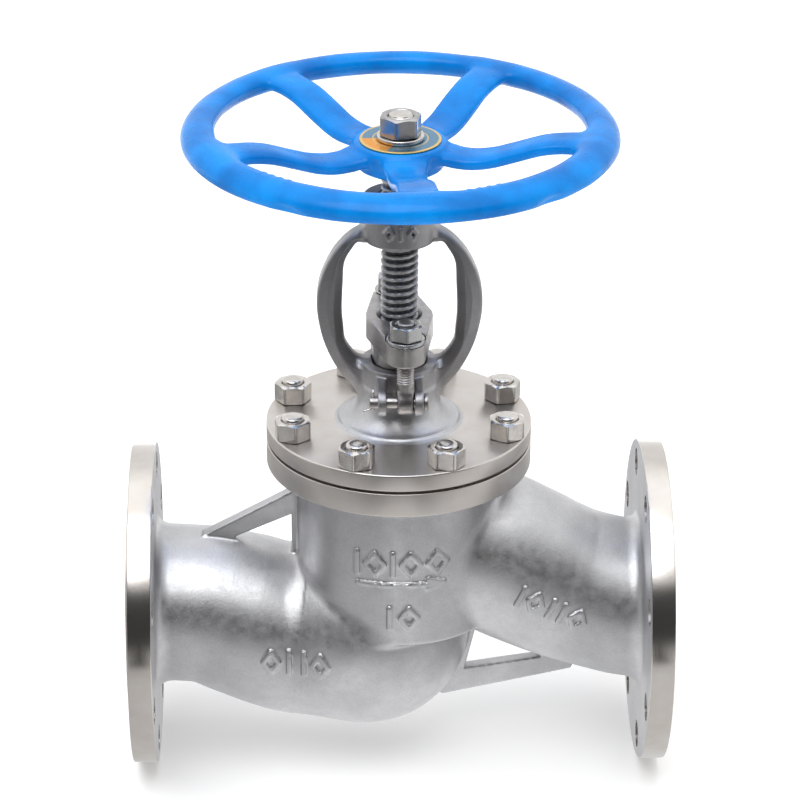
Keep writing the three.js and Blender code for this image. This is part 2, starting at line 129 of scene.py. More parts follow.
WHEEL_TURN = math.radians(-85.7)        # direction of the front spoke
WHEEL_HUB_TOP = 323.7
PLATE_R = 25.5                          # nameplate
WHEEL_HUB_LOW = heights("handwheel")[0]
GLAND_TURN = math.radians(4.4)


# ---- Distance fields ----------------------------------------------------------------------
# A field takes arrays x, y, z and is negative inside the solid.

def join(a, b, k):
    """Union of two fields with a fillet of about k."""
    h = np.clip(0.5 + 0.5 * (b - a) / k, 0, 1)
    return b + (a - b) * h - k * h * (1 - h)


def cut(a, b, k):
    """Field a with b taken out, the edge eased by k."""
    return -join(-a, b, k)


def overlap(a, b, k):
    return -join(-a, -b, k)


def slab(height, low, high):
    """Everything between two heights."""
    return np.abs(height - (low + high) / 2) - (high - low) / 2


def disc_field(r, height, radius, low, high, edge=0.8):
    """Disc of a radius between two heights, edges eased."""
    return overlap(r - radius, slab(height, low, high), edge)


def spline(points, count):
    """Catmull-Rom curve through rows of points, resampled."""
    p = np.array(points, float)
    p = np.vstack([2 * p[0] - p[1], p, 2 * p[-1] - p[-2]])
    spans = len(p) - 3
    t = np.linspace(0, spans, count, endpoint=False)
    i = np.minimum(t.astype(int), spans - 1)
    u = (t - i)[:, None]
    a, b, c, d = p[i], p[i + 1], p[i + 2], p[i + 3]
    curve = 0.5 * (2 * b + (c - a) * u + (2 * a - 5 * b + 4 * c - d) * u**2
                   + (3 * b - a - 3 * c + d) * u**3)
    return np.vstack([curve, p[-2]])


class Table:
    """Values on a regular grid of two coordinates, read back between the nodes."""

    def __init__(self, low, high, step, make):
        self.low, self.step = np.array(low, float), step
        u = np.arange(low[0], high[0] + step, step)
        v = np.arange(low[1], high[1] + step, step)
        grid_u, grid_v = np.meshgrid(u, v, indexing="ij")
        self.values = [np.asarray(a, np.float32) for a in make(grid_u, grid_v)]
        self.shape = grid_u.shape

    def __call__(self, u, v):
        fu = np.clip((u - self.low[0]) / self.step, 0, self.shape[0] - 1.001)
        fv = np.clip((v - self.low[1]) / self.step, 0, self.shape[1] - 1.001)
        i, j = fu.astype(np.int32), fv.astype(np.int32)
        fu, fv = fu - i, fv - j
        out = []
        for a in self.values:
            low_side = a[i, j] * (1 - fu) + a[i + 1, j] * fu
            high_side = a[i, j + 1] * (1 - fu) + a[i + 1, j + 1] * fu
            out.append(low_side * (1 - fv) + high_side * fv)
        return out


def segment_distance(u, v, a, b):
    """Distance to the segment from a to b, and how far along it the nearest point is."""
    du, dv = b[0] - a[0], b[1] - a[1]
    t = np.clip(((u - a[0]) * du + (v - a[1]) * dv) / (du * du + dv * dv + 1e-12), 0, 1)
    return np.hypot(u - a[0] - t * du, v - a[1] - t * dv), t


def tube_table(points):
    """Distance from a flat centre line of rows (x, z, radius), and the radius there."""
    line = spline(points, 60)

    def make(u, v):
        best = np.full(u.shape, 1e9)
        radius = np.zeros(u.shape)
        for a, b in zip(line[:-1], line[1:]):
            d, t = segment_distance(u, v, a, b)
            r = a[2] + (b[2] - a[2]) * t
            near = d < best
            best, radius = np.where(near, d, best), np.where(near, r, radius)
        return best, radius

    return Table((-185, -110), (185, 130), 1.0, make)


def outline_table(outline, low, high, step=0.5):
    """Signed distance to a closed outline, negative inside."""
    outline = np.asarray(outline, float)

    def make(u, v):
        best = np.full(u.shape, 1e9)
        inside = np.zeros(u.shape, bool)
        for a, b in zip(outline, np.roll(outline, -1, axis=0)):
            best = np.minimum(best, segment_distance(u, v, a, b)[0])
            crosses = (a[1] > v) != (b[1] > v)
            at = a[0] + (v - a[1]) * (b[0] - a[0]) / (b[1] - a[1] + 1e-12)
            inside ^= crosses & (u < at)
        return [np.where(inside, -best, best)]

    return Table(low, high, step, make)


def strokes_table(strokes, low, high, step=0.4):
    """Distance to a set of open lines, each a list of points."""

    def make(u, v):
        best = np.full(u.shape, 1e3)
        for line in strokes:
            for a, b in zip(line[:-1], line[1:]):
                best = np.minimum(best, segment_distance(u, v, a, b)[0])
        return [best]

    return Table(low, high, step, make)


def waviness(x, y, z, size, depth):
    """Slight unevenness of a casting."""
    a = np.sin(x / size + 1.3 * np.sin(y / size * 0.7)) * np.sin(y / size * 1.1 + 2)
    b = np.sin(z / size * 0.9 + 1.7 * np.sin(x / size * 0.6 + 1))
    return depth * (a * 0.6 + b * 0.4)


# ---- Surface nets -------------------------------------------------------------------------

BLOCK = 4                               # cells along a block
CORNERS = np.array([(i, j, k) for i in (0, 1) for j in (0, 1) for k in (0, 1)])
EDGES = [(a, b) for a in range(8) for b in range(a + 1, 8)
         if np.abs(CORNERS[a] - CORNERS[b]).sum() == 1]


def sample(field, low, cells, cell):
    """Field values on a grid, worked out only in the blocks that the surface passes."""
    blocks = cells // BLOCK
    index = np.stack(np.meshgrid(*[np.arange(n) for n in blocks], indexing="ij"), -1).reshape(-1, 3)
    centre = low + (index + 0.5) * BLOCK * cell
    at_centre = field(*centre.T.astype(np.float32))
    reach = BLOCK * cell * 0.9 + 1.2
    near = np.abs(at_centre) < reach
    values = np.repeat(np.repeat(np.repeat(
        at_centre.reshape(blocks), BLOCK, 0), BLOCK, 1), BLOCK, 2).astype(np.float32)
    values = np.pad(values, ((0, 1),) * 3, mode="edge")
    local = np.stack(np.meshgrid(*[np.arange(BLOCK + 1)] * 3, indexing="ij"), -1).reshape(-1, 3)
    todo = index[near] * BLOCK
    for start in range(0, len(todo), 8000):
        nodes = (todo[start:start + 8000, None, :] + local[None]).reshape(-1, 3)
        points = (low + nodes * cell).astype(np.float32)
        values[nodes[:, 0], nodes[:, 1], nodes[:, 2]] = field(*points.T)
    return values


def surface(field, low, high, cell):
    """Smooth quad mesh of field = 0 in a box: vertices in millimetres, and faces."""
    low = np.array(low, float)
    cells = np.ceil((np.array(high, float) - low) / cell / BLOCK).astype(int) * BLOCK
    values = sample(field, low, cells, cell)
    inside = values < 0
    total = np.zeros(cells, np.int8)
    for i, j, k in CORNERS:
        total += inside[i:i + cells[0], j:j + cells[1], k:k + cells[2]]
    active = np.argwhere((total > 0) & (total < 8))
    corner = np.stack([values[tuple((active + c).T)] for c in CORNERS], 1)
    place = np.zeros((len(active), 3))
    count = np.zeros(len(active))
    for a, b in EDGES:
        va, vb = corner[:, a], corner[:, b]
        crossing = (va < 0) != (vb < 0)
        t = np.where(crossing, va / np.where(crossing, va - vb, 1), 0)
        at = CORNERS[a] + t[:, None] * (CORNERS[b] - CORNERS[a])
        place += at * crossing[:, None]
        count += crossing
    points = low + (active + place / count[:, None]) * cell
    number = np.full(cells, -1, np.int32)
    number[tuple(active.T)] = np.arange(len(active))
    faces = []
    for axis in range(3):
        u, v = [(1, 2), (2, 0), (0, 1)][axis]
        first = [slice(1, n) for n in cells]
        second = list(first)
        first[axis], second[axis] = slice(0, cells[axis]), slice(1, cells[axis] + 1)
        here, there = inside[tuple(first)], inside[tuple(second)]
        edge = np.argwhere(here != there)
        flip = here[tuple(edge.T)]
        offset = np.ones(3, int)
        offset[axis] = 0
        edge += offset
        ring = []
        for du, dv in ((0, 0), (1, 0), (1, 1), (0, 1)):
            cell_index = edge.copy()
            cell_index[:, u] -= du
            cell_index[:, v] -= dv
            ring.append(number[tuple(cell_index.T)])
        quad = np.stack(ring, 1)
        quad[~flip] = quad[~flip][:, ::-1]
        faces.append(quad)
    return settle(field, points, cell), np.vstack(faces)


def sculpted(name, field, low, high, cell):
    """An object from the surface of a field."""
    return mesh_object(name, *surface(field, low, high, cell))


def settle(field, points, cell, rounds=2):
    """Moves vertices onto the surface along its gradient, by no more than a part of a cell."""
    step = 0.15
    for _ in range(rounds):
        x, y, z = points.T
        value = field(x, y, z)
        gradient = np.stack([
            field(x + step, y, z) - field(x - step, y, z),
            field(x, y + step, z) - field(x, y - step, z),
            field(x, y, z + step) - field(x, y, z - step),
        ], 1) / (2 * step)
        size = np.maximum((gradient**2).sum(1), 0.2)
        move = -(value / size)[:, None] * gradient
        far = np.linalg.norm(move, axis=1)
        move *= np.minimum(1, 0.35 * cell / np.maximum(far, 1e-9))[:, None]
        points = points + move
    return points


# ---- Meshes -------------------------------------------------------------------------------

def add_object(name, data):
    """A new object in the scene, round a mesh, a camera or a light."""
    thing = bpy.data.objects.new(name, data)
    bpy.context.scene.collection.objects.link(thing)
    return thing


def mesh_object(name, points, faces):
    """An object from points in millimetres and a list or array of faces."""
    mesh = bpy.data.meshes.new(name)
    points = np.asarray(points, float) * MM
    if isinstance(faces, np.ndarray) and faces.ndim == 2:
        sides = faces.shape[1]
        mesh.vertices.add(len(points))
        mesh.vertices.foreach_set("co", points.astype(np.float32).ravel())
        mesh.loops.add(faces.size)
        mesh.loops.foreach_set("vertex_index", faces.astype(np.int32).ravel())
        mesh.polygons.add(len(faces))
        mesh.polygons.foreach_set("loop_start", np.arange(0, faces.size, sides, dtype=np.int32))
        mesh.update(calc_edges=True)
    else:
        mesh.from_pydata(points.tolist(), [], [list(map(int, f)) for f in faces])
        mesh.update()
    return add_object(name, mesh)


def rounded(corner_list):
    """A profile of rows (radius, height[, fillet]) with its corners turned into arcs."""
    rows = [(*c, 0)[:3] for c in corner_list]
    out = []
    for i, (x, y, fillet) in enumerate(rows):
        here = np.array((x, y), float)
        if fillet <= 0 or i in (0, len(rows) - 1):
            out.append(here)
            continue
        to_last = np.array(rows[i - 1][:2], float) - here
        to_next = np.array(rows[i + 1][:2], float) - here
        a, b = to_last / np.linalg.norm(to_last), to_next / np.linalg.norm(to_next)
        half = math.acos(np.clip(a @ b, -1, 1)) / 2
        if half > 1.55:
            out.append(here)
            continue
        back = min(fillet / math.tan(half), 0.49 * np.linalg.norm(to_last), 0.49 * np.linalg.norm(to_next))
        start, end = here + a * back, here + b * back
        steps = 4 if fillet < 3 else 8
        for t in np.linspace(0, 1, steps + 1):
            out.append((1 - t) ** 2 * start + 2 * t * (1 - t) * here + t**2 * end)
    return np.array(out)


def turned(name, corner_list, segments=96, axis="Z", centre=(0, 0, 0)):
    """Solid of revolution. The profile runs from axis to axis, or is a closed loop."""
    profile = rounded(corner_list)
    closed = np.allclose(profile[0], profile[-1])
    if closed:
        profile = profile[:-1]
    angle = np.linspace(0, TAU, segments, endpoint=False)
    points, rings = [], []
    for r, h in profile:
        if r < 1e-6:
            rings.append([len(points)])
            points.append((0, 0, h))
        else:
            rings.append(list(range(len(points), len(points) + segments)))
            points.extend(zip(r * np.cos(angle), r * np.sin(angle), [h] * segments))
    faces = []
    pairs = zip(rings, rings[1:] + rings[:1]) if closed else zip(rings[:-1], rings[1:])
    for low, high in pairs:
        for i in range(segments):
            j = (i + 1) % segments
            loop = [low[i % len(low)], low[j % len(low)], high[j % len(high)], high[i % len(high)]]
            loop = list(dict.fromkeys(loop))
            if len(loop) > 2:
                faces.append(loop)
    points = np.array(points)
    if axis == "X":
        points = points[:, [2, 0, 1]]
    if axis == "-X":
        points = points[:, [2, 1, 0]] * (-1, 1, 1)
    piece = mesh_object(name, points + np.array(centre), faces)
    outward(piece)
    return piece


def outward(piece):
    edit = bmesh.new()
    edit.from_mesh(piece.data)
    bmesh.ops.recalc_face_normals(edit, faces=edit.faces)
    if edit.calc_volume(signed=True) < 0:
        bmesh.ops.reverse_faces(edit, faces=edit.faces)
    edit.to_mesh(piece.data)
    edit.free()


def combine(piece, others, operation):
    """Boolean of piece with each of the others, which are used up."""
    for other in others:
        for solver in ("MANIFOLD", "EXACT"):
            before = len(piece.data.vertices)
            modifier = piece.modifiers.new("combine", "BOOLEAN")
            modifier.operation, modifier.solver, modifier.object = operation, solver, other
            bpy.context.view_layer.update()
            graph = bpy.context.evaluated_depsgraph_get()
            made = bpy.data.meshes.new_from_object(piece.evaluated_get(graph))
            piece.modifiers.clear()
            old, piece.data = piece.data, made
            bpy.data.meshes.remove(old)
            if len(made.vertices) != before:
                break
        remove(other)
    return piece


def remove(piece):
    mesh = piece.data
    bpy.data.objects.remove(piece)
    bpy.data.meshes.remove(mesh)


def merged(name, parts):
    """One object out of several that do not touch."""
    points, faces, base = [], [], 0
    for part in parts:
        points.extend(part.matrix_world @ v.co / MM for v in part.data.vertices)
        faces.extend([base + i for i in p.vertices] for p in part.data.polygons)
        base = len(points)
        remove(part)
    return mesh_object(name, np.array([tuple(p) for p in points]), faces)


def moved(piece, shift=(0, 0, 0), turn=0.0):
    """Turns the mesh about Z, then moves it, in millimetres."""
    piece.data.transform(Matrix.Translation(Vector(shift) * MM) @ Matrix.Rotation(turn, 4, "Z"))
    return piece


def place(piece, body, slot, materials, *nodes, smooth=32):
    """Shades a finished piece, gives it its looks, ties it to its CAD body and hides the CAD nodes it stands
    for.
    """
    piece.data.shade_smooth()
    piece.data.set_sharp_from_angle(angle=math.radians(smooth))
    if not isinstance(materials, (list, tuple)):
        materials = [materials]
    piece.data.materials.clear()
    for material in materials:
        piece.data.materials.append(material)
    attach(piece, body)
    if nodes:
        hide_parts(*nodes)
    return piece


# ---- Materials ----------------------------------------------------------------------------

class Nodes:
    """The nodes of one tree, added and wired; place is the output that gives the coordinates."""

    def __init__(self, tree, place):
        self.tree = tree
        self.place = self.add("ShaderNodeTexCoord").outputs[place]

    def add(self, kind, values=(), **settings):
        node = self.tree.nodes.new(kind)
        for key, value in settings.items():
            setattr(node, key, value)
        for key, value in dict(values).items():
            node.inputs[key].default_value = value
        return node

    def wire(self, source, target):
        self.tree.links.new(source, target)

    def split(self):
        """The coordinates as outputs X, Y and Z."""
        node = self.add("ShaderNodeSeparateXYZ")
        self.wire(self.place, node.inputs[0])
        return node.outputs

    def scaled(self, source, low, high, start=0.3, end=0.7):
        """The source between start and end, spread over low to high."""
        node = self.add("ShaderNodeMapRange", {"From Min": start, "From Max": end,
                                               "To Min": low, "To Max": high})
        self.wire(source, node.inputs["Value"])
        return node.outputs["Result"]

    def worked_out(self, operation, a, b, clamp=False):
        """The sum, product or other operation of two outputs."""
        node = self.add("ShaderNodeMath", operation=operation, use_clamp=clamp)
        self.wire(a, node.inputs[0])
        self.wire(b, node.inputs[1])
        return node.outputs[0]


class Looks(Nodes):
    """A procedural material built around one Principled shader, in object coordinates."""

    def __init__(self, name, **constants):
        self.material = bpy.data.materials.new(name)
        self.material.use_nodes = True
        super().__init__(self.material.node_tree, "Object")
        self.shader = self.tree.nodes["Principled BSDF"]
        self.bumps = None
        for key, value in constants.items():
            self.shader.inputs[key.replace("_", " ")].default_value = value

    def noise(self, size_mm, detail=2.0, roughness=0.5):
        """Noise with features of about size_mm."""
        mapping = self.add("ShaderNodeMapping", {"Scale": [1 / (size_mm * MM)] * 3})
        self.wire(self.place, mapping.inputs["Vector"])
        node = self.add("ShaderNodeTexNoise", {"Scale": 1.0, "Detail": detail, "Roughness": roughness})
        self.wire(mapping.outputs["Vector"], node.inputs["Vector"])
        return node.outputs["Fac"]

    def radius(self, axis="Z"):
        """Distance from an axis."""
        split, flat = self.split(), self.add("ShaderNodeCombineXYZ")
        for i, name in enumerate([a for a in "XYZ" if a != axis]):
            self.wire(split[name], flat.inputs[i])
        length = self.add("ShaderNodeVectorMath", operation="LENGTH")
        self.wire(flat.outputs[0], length.inputs[0])
        return length.outputs["Value"]

    def marks(self, source, size_mm):
        """Noise over one measure: turning marks over a radius on faces, along an axis on rims."""
        node = self.add("ShaderNodeTexNoise", {"Scale": 1 / (size_mm * MM), "Detail": 3.0},
                        noise_dimensions="1D")
        self.wire(source, node.inputs["W"])
        return node.outputs["Fac"]

    def ramp(self, source, *stops):
        """Colour ramp with stops (position, colour)."""
        node = self.add("ShaderNodeValToRGB")
        elements = node.color_ramp.elements
        while len(elements) < len(stops):
            elements.new(0.5)
        for element, (at, colour) in zip(elements, stops):
            element.position = at
            element.color = (*colour, 1) if len(colour) == 3 else (colour[0],) * 3 + (1,)
        self.wire(source, node.inputs["Fac"])
        return node.outputs["Color"]

    def blend(self, factor, a, b, mode="MIX"):
        node = self.add("ShaderNodeMix", data_type="RGBA", blend_type=mode)
        for socket, value in ((node.inputs[0], factor), (node.inputs[6], a), (node.inputs[7], b)):
            if isinstance(value, (int, float)):
                socket.default_value = value
            elif isinstance(value, tuple):
                socket.default_value = (*value, 1)
            else:
                self.wire(value, socket)
        return node.outputs[2]

    def colour(self, source):
        self.wire(source, self.shader.inputs["Base Color"])
        return self

    def roughness(self, source):
        self.wire(source, self.shader.inputs["Roughness"])
        return self

    def uneven(self, size_mm, low, high):
        """Roughness that wanders from low to high over about size_mm."""
        return self.roughness(self.scaled(self.noise(size_mm, 2), low, high))

    def bump(self, source, height_mm):
        """Adds relief of about height_mm; relief layers are stacked."""
        node = self.add("ShaderNodeBump", {"Strength": 1.0, "Distance": height_mm * MM})
        self.wire(source, node.inputs["Height"])
        if self.bumps is not None:
            self.wire(self.bumps, node.inputs["Normal"])
        self.bumps = node.outputs["Normal"]
        self.wire(self.bumps, self.shader.inputs["Normal"])
        return self


def cast_steel(name="cast_steel", upper=None):
    """Bead-blasted cast stainless steel; where upper is given, painted shade darkens it towards the top."""
    base, rough = (0.62, 0.62, 0.635), 0.42
    looks = Looks(name, Metallic=1.0)
    broad = looks.noise(38, 3)
    grain = looks.noise(1.1, 3, 0.6)
    dark = tuple(c * 0.88 for c in base)
    light = tuple(min(1, c * 1.06) for c in base)
    tone = looks.ramp(broad, (0.3, dark), (0.7, light))
    if upper:
        # Painted shade: from 150 to 176 mm up the colour goes over to the darker upper tone, standing in for
        # the shade under the handwheel.
        height = looks.scaled(looks.split()["Z"], 0, 1, 150 * MM, 176 * MM)
        tone = looks.blend(height, tone, upper)
    specks = looks.ramp(grain, (0.25, (0.86,)), (0.6, (1.0,)))
    looks.colour(looks.blend(1.0, tone, specks, "MULTIPLY"))
    looks.uneven(6, rough - 0.05, rough + 0.07)
    looks.bump(looks.noise(7, 2), 0.04)
    looks.bump(grain, 0.09)
    return looks.material


def machined(name, axis, rough):
    """Turned stainless steel: fine rings about the axis on faces and rims."""
    looks = Looks(name, Metallic=1.0)
    base = (0.68, 0.65, 0.625)
    face_marks = looks.marks(looks.radius(axis), 0.5)
    rim_marks = looks.marks(looks.split()[axis], 0.35)
    stain = looks.noise(22, 3, 0.6)
    tint = tuple(c * f for c, f in zip(base, (0.92, 0.90, 0.87)))
    looks.colour(looks.ramp(stain, (0.32, tint), (0.68, base)))
    looks.roughness(looks.scaled(face_marks, rough - 0.04, rough + 0.08))
    looks.bump(face_marks, 0.010)
    looks.bump(rim_marks, 0.018)
    return looks.material


def satin_steel(name, base, rough, grain_mm=0.9, relief=0.035):
    """Plain worked stainless steel with faint blotches."""
    looks = Looks(name, Metallic=1.0)
    dark = tuple(c * 0.82 for c in base)
    looks.colour(looks.ramp(looks.noise(9, 3, 0.6), (0.35, dark), (0.65, base)))
    looks.uneven(4, rough - 0.05, rough + 0.08)
    looks.bump(looks.noise(grain_mm, 2), relief)
    return looks.material


def thread_steel():
    """Stem: dark, with oil blotches, painted shade darkening the thread grooves and brighter on the crests.
    """
    looks = Looks("stem_thread", Metallic=1.0)
    # Painted shade: the colour darkens from the crests at 12 mm radius towards the groove bottoms at 10 mm.
    painted_groove_shade = looks.scaled(looks.radius(), 0, 1, 10.0 * MM, 12.0 * MM)
    oil = looks.scaled(looks.noise(3, 3, 0.6), -0.18, 0.18)
    total = looks.worked_out("ADD", painted_groove_shade, oil, clamp=True)
    tone = looks.ramp(total, (0.0, (0.11, 0.11, 0.12)), (0.65, (0.42, 0.42, 0.43)),
                      (1.0, (0.60, 0.60, 0.61)))
    looks.colour(tone)
    looks.uneven(2.5, 0.38, 0.54)
    looks.bump(looks.marks(looks.split()["Z"], 0.3), 0.02)
    return looks.material


def blue_enamel():
    """Gloss blue paint over sand-cast iron."""
    looks = Looks("blue_enamel", Metallic=0.0, Coat_Weight=0.14, Coat_Roughness=0.04,
                  Specular_IOR_Level=0.12)
    looks.colour(looks.ramp(looks.noise(30, 3), (0.32, (0.0005, 0.15, 0.52)), (0.68, (0.001, 0.265, 0.80))))
    looks.uneven(5, 0.26, 0.36)
    looks.bump(looks.noise(9, 3, 0.55), 0.22)
    looks.bump(looks.noise(1.8, 2), 0.03)
    return looks.material


def graphite():
    looks = Looks("graphite", Metallic=0.0)
    looks.colour(looks.ramp(looks.noise(0.8, 3), (0.3, (0.015, 0.015, 0.017)), (0.7, (0.05, 0.05, 0.055))))
    looks.uneven(1.5, 0.55, 0.8)
    looks.bump(looks.noise(0.8, 2), 0.05)
    return looks.material


def plate_print():
    """Printed aluminium disc: blue-grey field, an orange sector and thin gold rings."""
    looks = Looks("plate_print", Metallic=0.85)
    split = looks.split()
    bearing = looks.worked_out("ARCTAN2", split["Y"], split["X"])
    turn = looks.scaled(bearing, 0, 1, -math.pi, math.pi)
    blue, orange = (0.13, 0.27, 0.40), (0.83, 0.36, 0.06)
    sector = looks.ramp(turn, (0.0, orange), (0.188, orange), (0.191, blue), (1.0, blue))
    gold = (0.78, 0.55, 0.22)
    bands = looks.scaled(looks.radius(), 0, 1, 0, PLATE_R * MM)
    mask = looks.ramp(bands, (0.0, (0.0,)), (0.655, (0.0,)), (0.66, (1.0,)), (0.685, (1.0,)),
                      (0.69, (0.0,)), (0.93, (0.0,)), (0.935, (1.0,)))
    looks.colour(looks.blend(mask, sector, gold))
    looks.uneven(3, 0.26, 0.38)
    looks.bump(looks.marks(looks.radius(), 0.4), 0.01)
    return looks.material


CAST = cast_steel()
# The darker upper tone of the yoke is painted shade under the handwheel, not a different steel.
YOKE = cast_steel("cast_yoke_painted_shade", upper=(0.36, 0.355, 0.365))
TURNED_X = machined("machined_about_x", "X", 0.17)
TURNED_Z = machined("machined_about_z", "Z", 0.33)
FORGED = satin_steel("forged_steel", (0.48, 0.46, 0.455), 0.33)
DARK = satin_steel("dark_steel", (0.11, 0.11, 0.12), 0.38, 1.2, 0.06)
BRIGHT = satin_steel("bright_steel", (0.72, 0.69, 0.66), 0.17, 0.7, 0.012)
NUTS = satin_steel("nut_steel", (0.50, 0.495, 0.495), 0.2, 0.7, 0.012)
INNER = satin_steel("inner_steel", (0.52, 0.51, 0.50), 0.3)
THREAD = thread_steel()
ENAMEL = blue_enamel()
GRAPHITE = graphite()
PRINT = plate_print()


# ---- Body ---------------------------------------------------------------------------------

INLET = tube_table([
    (-162, 0, TUBE_R), (-140, -0.8, 51.5), (-122, -2.9, 52), (-100, -10, 54),
    (-68, -21, 55.5), (-38, -19, 59), (-20, -15, 60),
])
OUTLET = tube_table([
    (162, 0.3, TUBE_R), (147.6, 1.5, 51.5), (119, 9.7, 51), (102, 16.4, 51.5),
    (81, 26.8, 52.5), (58, 38, 53), (30, 47, 53),
])


def polygon_field(points):
    """Signed distance to a closed straight-sided outline in the XZ plane."""
    return outline_table(points, (-150, -90), (150, 100))


LEFT_RIB = polygon_field([(-132, 34), (-126.5, 51), (-62, 86.5), (-56, 30)])
LEFT_WINDOW = polygon_field([(-106, 49.5), (-97, 40), (-69.5, 28), (-69.5, 65.5)])
RIGHT_RIB = polygon_field([(16, -60), (30, -69.5), (115, -50.5), (122, -36), (60, -6), (36, -10)])
RIGHT_WINDOW = polygon_field([(52, -17), (44.5, -49.5), (95, -41.5)])


def rib_field(x, y, z, rib, window, thick):
    flat = overlap(rib(x, z)[0], -window(x, z)[0], 1.5)
    return overlap(flat, np.abs(y) - thick / 2, 1.2)


def diamond(x, z, w, h):
    return [(x - w, z), (x, z + h), (x + w, z), (x, z - h), (x - w, z)]


def bar(x, z, h):
    return [(x, z - h), (x, z + h)]


def turned_strokes(strokes, centre, angle):
    c, s = math.cos(angle), math.sin(angle)
    return [[(centre[0] + c * u - s * v, centre[1] + s * u + c * v) for u, v in line] for line in strokes]


def drum_marks():
    """Flow arrow, with plain bars and diamonds above and below it."""
    row = [bar(-28, 60.5, 7.5), diamond(-16.5, 60.5, 6, 7.5), bar(-5, 60.5, 7.5),
           diamond(6.5, 60.5, 6, 7.5), diamond(23.5, 60.5, 6, 7.5)]
    arrow = [[(-27, 46), (27, 46)], [(18, 49.2), (27.5, 46), (18, 42.8)]]
    under = [bar(-7, 22, 7), diamond(5.5, 22, 5.5, 7)]
    return row + arrow + under


def side_marks():
    z, high = -15.5, 7.5
    inlet = [diamond(-83, z, 5, high), bar(-71.5, z, high), bar(-62, z, high), diamond(-51.5, z, 5, high)]
    high = 6.5
    outlet = [bar(-24, 0, high), diamond(-13.5, 0, 5, high), bar(-2, 0, high), bar(6, 0, high),
              diamond(17, 0, 5, high)]
    return inlet + turned_strokes(outlet, (99, 19.5), math.radians(-26))


MARKS = strokes_table(drum_marks() + side_marks(), (-100, -40), (135, 80), 0.5)
MARK_WIDTH, MARK_HIGH = 1.65, 1.8


def raised(base, stroke, side):
    """Adds rounded raised strokes to a surface on the side where side is positive."""
    mark = overlap(base - MARK_HIGH, stroke - MARK_WIDTH, 0.9)
    mark = np.where(side > 0, mark, 1e3)
    return join(base, mark, 0.9)


def tube(table, x, y, z, wall=0):
    """Round tube about a centre line, thinner by wall."""
    d, r = table(x, z)
    return np.hypot(d, y) - (r - wall)


def ball(x, y, z, radius):
    """Sphere about the middle of the lower bowl."""
    return np.sqrt((x - BOWL[0])**2 + y * y + (z - BOWL[1])**2) - radius


def shell_field(x, y, z):
    """Outside of the casting."""
    radial = np.hypot(x, y)
    drum = disc_field(radial, z, DRUM_R, 1.0, BODY_FLANGE_LOW + 4, 3.0)
    top = disc_field(radial, z, COVER_R - 1.5, BODY_FLANGE_LOW + 1.2, FLANGE_TOP - 3, 2)
    cast = join(tube(INLET, x, y, z), ball(x, y, z, BOWL_R), 10)
    upper = join(drum, tube(OUTLET, x, y, z), 5)
    cast = join(cast, upper, 3.5)
    cast = join(cast, top, 13)
    for low, high in ((-FACE + 3.5, -FACE + RIM_THICK + 1.4), (FACE - RIM_THICK - 1.4, FACE - 3.5)):
        cast = join(cast, disc_field(np.hypot(y, z), x, FLANGE_R - 1.2, low, high, 2), 11)
    for rib, window in ((LEFT_RIB, LEFT_WINDOW), (RIGHT_RIB, RIGHT_WINDOW)):
        cast = join(cast, rib_field(x, y, z, rib, window, 9), 2.5)
    cast = overlap(cast, np.abs(x) - (FACE - 4.5), 0.5)
    cast = cast + waviness(x, y, z, 17, 0.12)
    return raised(cast, MARKS(x, z)[0], -y)


def hollow_field(x, y, z):
    """Fluid space: inlet and lower chamber, seat bore, upper chamber and outlet."""
    radial = np.hypot(x, y)
    low = join(tube(INLET, x, y, z, WALL), ball(x, y, z, BOWL_R - 7), 8)
    low = overlap(low, np.where(x > -DRUM_R - 1.5, z - 8, -50), 2)
    high = tube(OUTLET, x, y, z, WALL)
    high = overlap(high, np.where(x < DRUM_R - 1.5, CHAMBER_LOW - z, -50), 2)
    chamber = disc_field(radial, z, CHAMBER_R, CHAMBER_LOW, FLANGE_TOP + 8, 1)
    seat = disc_field(radial, z, 49, 8.5, 40, 0.6)
    throat = disc_field(radial, z, 44, -6, 20, 1)
    return join(join(join(low, throat, 2), seat, 0.8), join(high, chamber, 4), 0.8)


def body_field(x, y, z):
    return cut(shell_field(x, y, z), hollow_field(x, y, z), 1.0)


def bolt_spots(circle):
    """Places round a bolt circle, straddling its axes."""
    for i in range(BOLTS):
        angle = math.pi / BOLTS + TAU * i / BOLTS
        yield circle * math.cos(angle), circle * math.sin(angle)


def bolt_cutters(name, circle, radius, low, high, axis):
    """Cylinders on a bolt circle, along X or Z."""
    for i, (a, b) in enumerate(bolt_spots(circle)):
        profile = [(0, low), (radius, low), (radius, high), (0, high)]
        centre = (0, a, b) if axis == "X" else (a, b, 0)
        yield turned(f"{name}_{i}", profile, 40, axis, centre)


def end_flange(side):
    """Machined ring: raised face with a bored mouth, rim with broken edges."""
    back = FACE - RAISED_HIGH - RIM_THICK
    profile = [
        (BORE_R - 0.4, FACE), (RAISED_R, FACE, 0.5), (RAISED_R + 0.6, FACE - RAISED_HIGH, 0.3),
        (FLANGE_R, FACE - RAISED_HIGH, 0.9), (FLANGE_R, back, 0.9), (68, back, 2),
        (BORE_R - 0.4, back - 0.4), (BORE_R - 0.4, FACE),
    ]
    return turned(f"flange_{side}", [(r, side * h, *f) for r, h, *f in profile], 192, "X")


